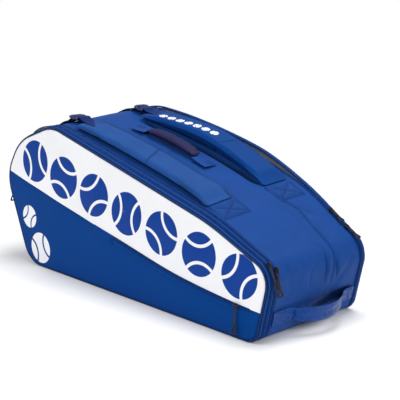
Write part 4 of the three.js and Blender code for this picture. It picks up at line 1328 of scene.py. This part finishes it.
def quilted(u, v):
    """Fullness of a patch sewn round its edge and across its diagonals; u and v run from -1 to 1."""
    rim = 1 - np.maximum(np.abs(u), np.abs(v))
    cross = np.minimum(np.abs(u - v), np.abs(u + v)) / 1.4
    return smoothstep(0.04, 0.5, np.minimum(np.abs(rim - 0.12) + 0.02, np.where(rim > 0.12, cross, 1)))


def box_stitches(body, s0, s1, y0, y1, height):
    """A stitched box with a cross in it."""
    t = np.linspace(0, 1, 12)
    box = [(s0, y0), (s1, y0), (s1, y1), (s0, y1), (s0, y0), (s1, y1)]
    for (sa, ya), (sb, yb) in [*zip(box[:-1], box[1:]), ((s1, y0), (s0, y1))]:
        thread[body].on(sa + (sb - sa) * t, ya + (yb - ya) * t, height)


def make_strap_patch(side, strap):
    s0, s1 = on_top(PATCH[0]), on_top(PATCH[1])
    half = STRAP_WIDTH / 2
    share = np.linspace(-1, 1, 49)
    fullness = lambda s: quilted((s - s0) / (s1 - s0) * 2 - 1, share)

    def across(s):
        rim = np.minimum(np.minimum(s - s0, s1 - s), half * (1 - np.abs(share)))
        y = strap["y"] + half * share + 0 * s
        ground = gusset_height(s, y)
        top = ground + 0.7 + 2.4 * fullness(s) - 0.4 * (1 - smoothstep(0, 1.6, rim))
        return y, top + 1.7 * (1 - smoothstep(0, 16, s - s0)), np.minimum(ground - 0.8, -1.6)

    s = stations(s0, s1, 1.6)
    rings, cloth = band_rings(s, across)
    # Painted shade: darker where the quilted patch dips along its stitching.
    edge = there_and_back(0.5 * (1 - fullness(s[:, None])))
    obj = loft(f"{side}_strap_end_patch", rings, False, cloth, edge, strip_ends=True)
    finish_piece(obj, "bag_body", blue_fabric, [f"{side}_strap_patch"])
    reach = 0.88 * half
    box_stitches("bag_body", s0 + 3, s1 - 3, strap["y"] - reach, strap["y"] + reach, 0.6)


# ---- Ladder locks and their webbing ---------------------------------------------------------------

SEWN_Z, WEBBING_SLANT, WEBBING_FREE = 178, 14, (0.05, 0.75)
WEBBING_WIDTH, TAB_WIDTH = 29, 30
WEBBING_THICKNESS, TAB_THICKNESS, ANCHOR_THICKNESS = 1.6, 1.7, 2.4
LOCK_SINK, LOCK_BEND, LOCK_VOXEL = 3.0, 2.2, 0.7

# The ladder lock's bars: start, end, width and height; x runs from the lock's head end to the strap.
LOCK_BARS = [
    ((-12.2, -17.6, 3), (12.2, -17.6, 3), 4.2, 6.2),
    ((-12.2, 17.6, 3), (12.2, 17.6, 3), 4.2, 6.2),
    ((10.6, -18.4, 3), (10.6, 18.4, 3), 4.8, 6.0),
    ((0, -18.2, 2.6), (0, 18.2, 2.6), 4.6, 4.2),
    ((-10.7, -18.6, 3.2), (-10.7, 18.6, 3.2), 4.6, 5.2),
    ((-12.9, -13.5, 4.4), (-12.9, 13.5, 4.4), 4.0, 4.0),
]

# Ways of the webbing, as mm past the strap's head end and heights: the tab over the lock's strap bar,
# the webbing through the lock and back beneath itself, and (past its sewn end) the patch on that end.
TAB_WAY = [(45, 8.8), (34, 8.8), (18, 8.8), (7, 9.2), (1, 11.4), (-3.2, 13.3), (-6.4, 12.3), (-7.4, 9.4)]
TAB_WAY += [(-6.3, 6.4), (-3, 4.8), (5, 4.2)]
THROUGH_LOCK = [(-31, 4.6), (-26, 6.6), (-22, 9.2), (-18.6, 12.0), (-14, 13.1), (-10, 11.9), (-8.6, 9.1)]
THROUGH_LOCK += [(-10.4, 6.6), (-16, 4.4), (-24, 2.6), (-34, 1.5), (-54, 1.2)]
ANCHOR_WAY = [(-16, 0.8), (-8, 1.4), (4, 3.0), (12, 3.4), (22, 2.6)]


def webbing_edge(share):
    """How full webbing is across its width, share running from -1 to 1."""
    return (1 - np.abs(share) ** 8) ** 0.5


def ribbon(name, line, width, thick, material, body, nodes=(), blend=None):
    """Flat webbing along a line (path and normals): width in y, thick along the normals."""
    path, normals = line
    share = np.linspace(-1, 1, 13)
    centre = path[:, None] + np.array([0, 1.0, 0]) * (share * width / 2)[None, :, None]
    off = normals[:, None] * (thick / 2 * (0.3 + 0.7 * webbing_edge(share)))[None, :, None]
    obj = shell(name, centre + off, centre - off, run_length(path)[:, None], share * width / 2, smooth=60)
    return finish_piece(obj, body, material, nodes, blend)


def webbing_y(strap, s):
    """The webbing's middle line: its sewn end is WEBBING_SLANT nearer the bag's side."""
    end = on_top(strap["start"] - 6)
    share = np.clip((end - s) / (end - on_head_end(SEWN_Z)), 0, 1)
    return strap["y"] * (1 + WEBBING_SLANT / 80 * share)


def with_normals(path):
    return path, np.cross(unit(np.gradient(path, axis=0)), [0, -1.0, 0])


def strap_line(strap, corners, count):
    """Path and normals through corners (mm past the strap's head end, height) over the gusset."""
    flat = smooth_path([(a, 0, c) for a, c in corners], count)
    s = on_top(strap["start"]) + flat[:, 0]
    return with_normals(on_gusset(s, webbing_y(strap, s), flat[:, 2]))


def lock_bar(start, end, wide, tall):
    """A squared-off bar of the lock, whose head end bends up."""
    path = np.linspace(start, end, 14)
    path[:, 2:] += LOCK_BEND * smoothstep(2, -15, path[:, :1]) ** 1.3
    up = np.array([0, 0, 1.0])
    side = np.cross(unit(np.array(end, float) - start), up)
    y, z = super_circle(16, 0.6)
    return loft_data(path[:, None] + side * (y * wide / 2)[:, None] + up * (z * tall / 2)[:, None])


def make_lock(side, strap):
    s = on_top(strap["start"] - 14)
    along, out = surface_frame(s, strap["y"])
    axes = np.array([along, np.cross(out, along), out])
    points, faces = joined([lock_bar(*bar) for bar in LOCK_BARS])
    points = placed(points, on_gusset(s, strap["y"], STRAP_THICKNESS - LOCK_SINK), axes)
    work = remeshed(points, faces, LOCK_VOXEL)
    soften = work.modifiers.new("soften", "SMOOTH")
    soften.factor, soften.iterations = 0.6, 6
    lock = new_object(f"{side}_lock_moulding", *read_back(work), smooth=80)
    finish_piece(lock, f"{side}_lock", navy_plastic, [f"{side}_ladder_lock"])


def make_tab(side, strap):
    first = on_top(strap["start"])
    lift = strap_lift(strap, profile(first + 22)[0]) - 0.5
    line = strap_line(strap, [(a, c + lift * (a > 4)) for a, c in TAB_WAY], 70)
    body, nodes = f"{side}_strap", [f"{side}_strap_tab"]
    ribbon(f"{side}_strap_tab_webbing", line, TAB_WIDTH, TAB_THICKNESS, tab_webbing, body, nodes=nodes)
    box_stitches(body, first + 10, first + 41, strap["y"] - 11, strap["y"] + 11, 9.75 + lift)


def make_webbing(side, strap):
    """The webbing from its sewn end to the lock, in two pieces."""
    first, sewn = on_top(strap["start"]), on_head_end(SEWN_Z)
    start = first - 6
    s = np.linspace(sewn, start - 28, 46)
    low, high = WEBBING_FREE
    share = np.clip(((s - sewn) / (start - sewn) - low) / (high - low), 0, 1)
    slack = strap["webbing"] * np.sin(math.pi * share) ** 1.5
    height = 1.4 + np.maximum(slack, 1.9 * smoothstep(first - 66, first - 44, s))
    corners = [(q - first, h) for q, h in zip(s[::3], height[::3])] + THROUGH_LOCK
    path, normals = strap_line(strap, corners, 200)
    cut = int(np.argmax(path[:, 0] > strap["start"] - 52))
    halves = [
        ("webbing", slice(0, cut + 1), "bag_body", f"{side}_strap", -110, -56, [f"{side}_webbing"]),
        ("webbing_loop", slice(cut, None), f"{side}_strap", f"{side}_lock", -50, -28, []),
    ]
    for part, kept, held, moved, near, far, nodes in halves:
        blend = blend_ends(held, moved, first + near, first + far, strap["y"], 5)
        line, name = (path[kept], normals[kept]), f"{side}_strap_{part}"
        ribbon(name, line, WEBBING_WIDTH, WEBBING_THICKNESS, navy_webbing, None, nodes=nodes, blend=blend)
    line = strap_line(strap, [(sewn + q - first, h) for q, h in ANCHOR_WAY], 24)
    ribbon(f"{side}_webbing_anchor", line, WEBBING_WIDTH + 5, ANCHOR_THICKNESS, tab_webbing, "bag_body")
    y = float(webbing_y(strap, sewn))
    box_stitches("bag_body", sewn - 12, sewn + 6, y - 12, y + 12, 3.6)


# ---- Grab handle and haul handle ------------------------------------------------------------------

GRAB = {"start": -112, "end": 47, "width": 30, "thick": 8, "foot": 3.0, "arch": 8.5}
HAUL = {"z": 44, "half": 16, "end_half": 11, "start": -62, "end": 88, "thick": 3.4, "standoff": 6, "bow": 26}
HAUL_PATCHES = {"front": (-118, -62.4), "rear": (88.4, 128)}
HAUL_PATCH_HALF, HAUL_PATCH_THICKNESS, HAUL_STITCH_OFFSET = 14, 2.2, 9


def make_grab_end(name, x, side):
    """Webbing that sews one end of the grab handle down; side is the way it points along the bag."""
    s = on_top(x)
    corners = [(-9, 3.4), (-2, 3.0), (6, 1.7), (14, 0.9), (24, 0.7), (32, 0.5)]
    flat = smooth_path([(side * q, 0, h) for q, h in corners], 30)
    line = with_normals(on_gusset(s + flat[:, 0], 0, flat[:, 2]))
    nodes = [f"grab_handle_{name}_tab"]
    ribbon(f"grab_handle_{name}_webbing", line, 33, 1.4, blue_fabric, "bag_body", nodes)
    box_stitches("bag_body", *sorted((s + side * 15, s + side * 30)), -13, 13, 1.6)


def make_grab_handle():
    first, last = on_top(GRAB["start"]), on_top(GRAB["end"])
    length, middle = last - first, 4.4
    pinch = lambda a: smoothstep(4, 26, a) * smoothstep(4, 26, length - a)
    width_at = lambda a: GRAB["width"] - 5 + 2 * pinch(a)
    thick_at = lambda a: 2.2 + (GRAB["thick"] - 4.4) * pinch(a)
    flat = flat_pad(length, width_at, thick_at, count=70, sides=28, power=2.6)
    points, faces = inflate(*flat, voxel=2.6, cap=3.0, pressure=2.0)
    a, b, c = points.T
    a = np.clip(a, 0, length)
    crease = bell(np.minimum(a, length - a) - 20, 2.2)
    c = middle + (c - middle) * (1 - 0.35 * crease) + 0.35 * ripple(a, b, 26, 41)
    b = b * (1 - 0.12 * crease)
    low = GRAB["foot"] + GRAB["arch"] * np.sin(math.pi * np.clip(a / length, 0, 1)) ** 0.6
    under = np.where(c < middle, smoothstep(-0.5, middle, c), 1.0)
    points = on_gusset(first + a, b, low * (0.5 + 0.5 * under) + c)
    # Painted shade: the pinched crease near each end is darkened through the edge attribute.
    obj = new_object("grab_handle_pad", points, faces, np.stack([a, b], -1), 0.6 * crease, 80)
    finish_piece(obj, "grab_handle", handle_fabric, ["grab_handle"])
    make_grab_end("head", GRAB["start"] - 0.5, -1)
    make_grab_end("end", GRAB["end"] + 0.5, 1)


def haul_loop(y, share):
    """Half the width, the height and the folds of the haul handle's free loop, at y and at share across."""
    t = np.clip((y - HAUL["start"]) / (HAUL["end"] - HAUL["start"]), 0, 1)
    arch = np.sin(math.pi * t)
    half = HAUL["end_half"] + (HAUL["half"] - HAUL["end_half"]) * arch**0.5
    low = HAUL["standoff"] - HAUL["thick"] / 2 + HAUL["bow"] * arch**0.9
    folds = 1.5 * np.sin(share * 5 + 1.2) * bell(t, 0.16)
    folds = folds + 1.1 * np.cos(share * 4 + 4 * t) * (0.35 + bell(1 - t, 0.16))
    return half, low, folds + 0.7 * np.sin(share * 7 - 3 * t) * arch


def haul_patch(loop_end):
    """The same for a sewn end, which rises towards the loop's end."""

    def section(y, share):
        away = np.abs(y - loop_end)
        folds = 0.8 * np.sin(share * 6 + y * 0.16) * (1 - smoothstep(0, 30, away))
        folds = folds + 0.3 * np.sin(y * 0.5 + share * 3)
        return HAUL_PATCH_HALF, 0.6 + 3.6 * (1 - smoothstep(0, 18, away)), folds

    return section


def haul_piece(name, ends, count, thick, section, body, node):
    """Webbing across the handle end between two y; section(y, share) is haul_loop or a haul_patch."""
    y = np.linspace(*ends, count)[:, None]
    share = np.linspace(-1, 1, 25)[None]
    half, low, folds = section(y, share)
    z = HAUL["z"] + half * share + 0 * y
    s = on_handle_end(z)
    full = webbing_edge(share)
    outer = on_gusset(s, y, low + folds + thick * (0.5 + 0.5 * full))
    inner = on_gusset(s, y, low + folds * 0.6 + thick * 0.5 * (1 - full))
    finish_piece(shell(name, outer, inner, y, z, smooth=60), body, blue_webbing, [node])


def make_haul_handle():
    ends = HAUL["start"], HAUL["end"]
    haul_piece("haul_handle_loop", ends, 60, HAUL["thick"], haul_loop, "haul_handle", "haul_handle")
    for side, inner, count in (("front", 1, 30), ("rear", 0, 24)):
        name, node, ends = f"haul_handle_{side}_webbing", f"haul_handle_{side}_patch", HAUL_PATCHES[side]
        haul_piece(name, ends, count, HAUL_PATCH_THICKNESS, haul_patch(ends[inner]), "bag_body", node)
    for y0, y1 in ((-112, -80), (104, 124)):
        y = np.linspace(y0, y1, 14)
        for z in (HAUL["z"] - HAUL_STITCH_OFFSET, HAUL["z"] + HAUL_STITCH_OFFSET):
            thread["bag_body"].on(on_handle_end(z) + 0 * y, y, 3.1)


# ---- Base, stitching, floor, lights and camera ----------------------------------------------------


def make_base():
    low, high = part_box("base_board")
    x0, x1, y0, y1 = low.x / MM, high.x / MM, low.y / MM, high.y / MM
    outline = super_outline(x1 - x0, y1 - y0, 26, 160)
    levels = [(0.0, 0.992), (0.5, 0.998), (1.4, 1.0), (2.6, 1.0), (BASE_THICKNESS, 0.996)]
    rings = outline_rings(outline, levels) + np.array([(x0 + x1) / 2, (y0 + y1) / 2, 0])
    rings = np.concatenate([rings[:1] * [0.03, 0.03, 1], rings[:1] * [0.5, 0.5, 1], rings])
    obj = loft("base_board_cloth", rings, False, rings[..., :2], smooth=50)
    finish_piece(obj, "bag_body", base_laminate, ["base_board"])


def make_seam_stitches():
    for off in (-4.5, 4.5):
        y = np.linspace(-117, float(gusset_rear_y(np.array(HEAD_SEAM))) - 3, 60)
        thread["bag_body"].on(np.full_like(y, HEAD_SEAM + off), y, gusset_height(HEAD_SEAM + off, y) + 0.1)
    s = stations(30, LENGTH - 30, 6)
    for y in (np.full_like(s, -117.2), gusset_rear_y(s) - 2.8):
        thread["bag_body"].on(s, y, gusset_height(s, y) * smoothstep(-2, 12, 2.8) + 0.05)


FLOOR_RADIUS = 1.35
SKY_LIGHT, SKY_SEEN = 0.42, 1.0
LIGHTS = [
    ("key", (-0.9, -2.6, 2.2), (0, 0, 0.15), 1.8, 50),
    ("side", (2.8, -0.4, 1.6), (0, 0, 0.15), 1.4, 34),
    ("top", (0.2, 0.6, 3.0), (0, 0, 0.2), 1.6, 62),
]
AZIMUTH, ELEVATION, ROLL = 42.99, 13.02, 2.4
DISTANCE, TARGET = 2.050, (0.0602, 0.0, 0.1917)
SENSOR_WIDTH, LENS = 36, 90


def make_floor():
    floor = bpy.data.meshes.new("floor")
    rim = np.linspace(0, 2 * math.pi, 120, endpoint=False)
    points = [(FLOOR_RADIUS * math.cos(a), FLOOR_RADIUS * math.sin(a), 0) for a in rim]
    floor.from_pydata(points, [], [range(len(rim))])
    obj = add_object("floor", floor)
    n = Nodes("floor_paper")
    place = n.add("ShaderNodeTexCoord").outputs["Object"]
    tone = n.mix(n.noise(place, 3.0), rgb(0.90, 0.90, 0.90), rgb(0.93, 0.93, 0.93))
    n.finish(tone, n.span(n.noise(place, 20.0), 0, 1, 0.8, 0.95), n.bump(n.noise(place, 300.0), 0.0002, 0.2))
    floor.materials.append(n.material)


def make_sky():
    """White all round: one strength as light, and one as it is seen behind the bag."""
    world = bpy.data.worlds.new("studio")
    world.use_nodes = True
    nodes, links = world.node_tree.nodes, world.node_tree.links
    sky, level = nodes["Background"], nodes.new("ShaderNodeMapRange")
    level.inputs["To Min"].default_value, level.inputs["To Max"].default_value = SKY_LIGHT, SKY_SEEN
    links.new(nodes.new("ShaderNodeLightPath").outputs["Is Camera Ray"], level.inputs["Value"])
    links.new(level.outputs["Result"], sky.inputs["Strength"])
    sky.inputs["Color"].default_value = rgb(1.0, 1.0, 1.0)
    bpy.context.scene.world = world


def make_lamps():
    for name, place, aim, size, power in LIGHTS:
        data = bpy.data.lights.new(name, "AREA")
        data.size, data.energy = size, power
        lamp = add_object(name, data)
        lamp.location = place
        lamp.rotation_euler = (Vector(aim) - Vector(place)).to_track_quat("-Z", "Y").to_euler()


def make_camera():
    data = bpy.data.cameras.new("camera")
    data.sensor_width, data.lens = SENSOR_WIDTH, LENS
    data.clip_start, data.clip_end = 0.05, 50
    a, e, r = math.radians(AZIMUTH), math.radians(ELEVATION), math.radians(ROLL)
    back = np.array([math.sin(a) * math.cos(e), -math.cos(a) * math.cos(e), math.sin(e)])
    right = np.array([math.cos(a), math.sin(a), 0])
    up = np.cross(back, right)
    right, up = right * math.cos(r) + up * math.sin(r), up * math.cos(r) - right * math.sin(r)
    place = np.array(TARGET) + back * DISTANCE
    camera = add_object("camera", data)
    camera.matrix_world = Matrix([[right[q], up[q], back[q], place[q]] for q in range(3)] + [[0, 0, 0, 1]])
    bpy.context.scene.camera = camera


STITCHED = ("front_cover", "rear_cover", "front_strap", "rear_strap")
thread = {"bag_body": Thread("bag_stitching", "bag_body")}
thread.update({body: Thread(f"{body}_stitching", body) for body in STITCHED})

bpy.context.scene.view_settings.view_transform = "Standard"
make_camera()
make_floor()
make_sky()
make_lamps()
make_base()
make_gusset()
make_zips()
front_depth = make_covers()
make_pocket_zip(front_depth)
make_sliders(front_depth)
for side, strap in STRAPS.items():
    make_shoulder_strap(side, strap)
    make_strap_patch(side, strap)
    make_lock(side, strap)
    make_tab(side, strap)
    make_webbing(side, strap)
make_grab_handle()
make_haul_handle()
make_seam_stitches()
for gathered in thread.values():
    gathered.make()
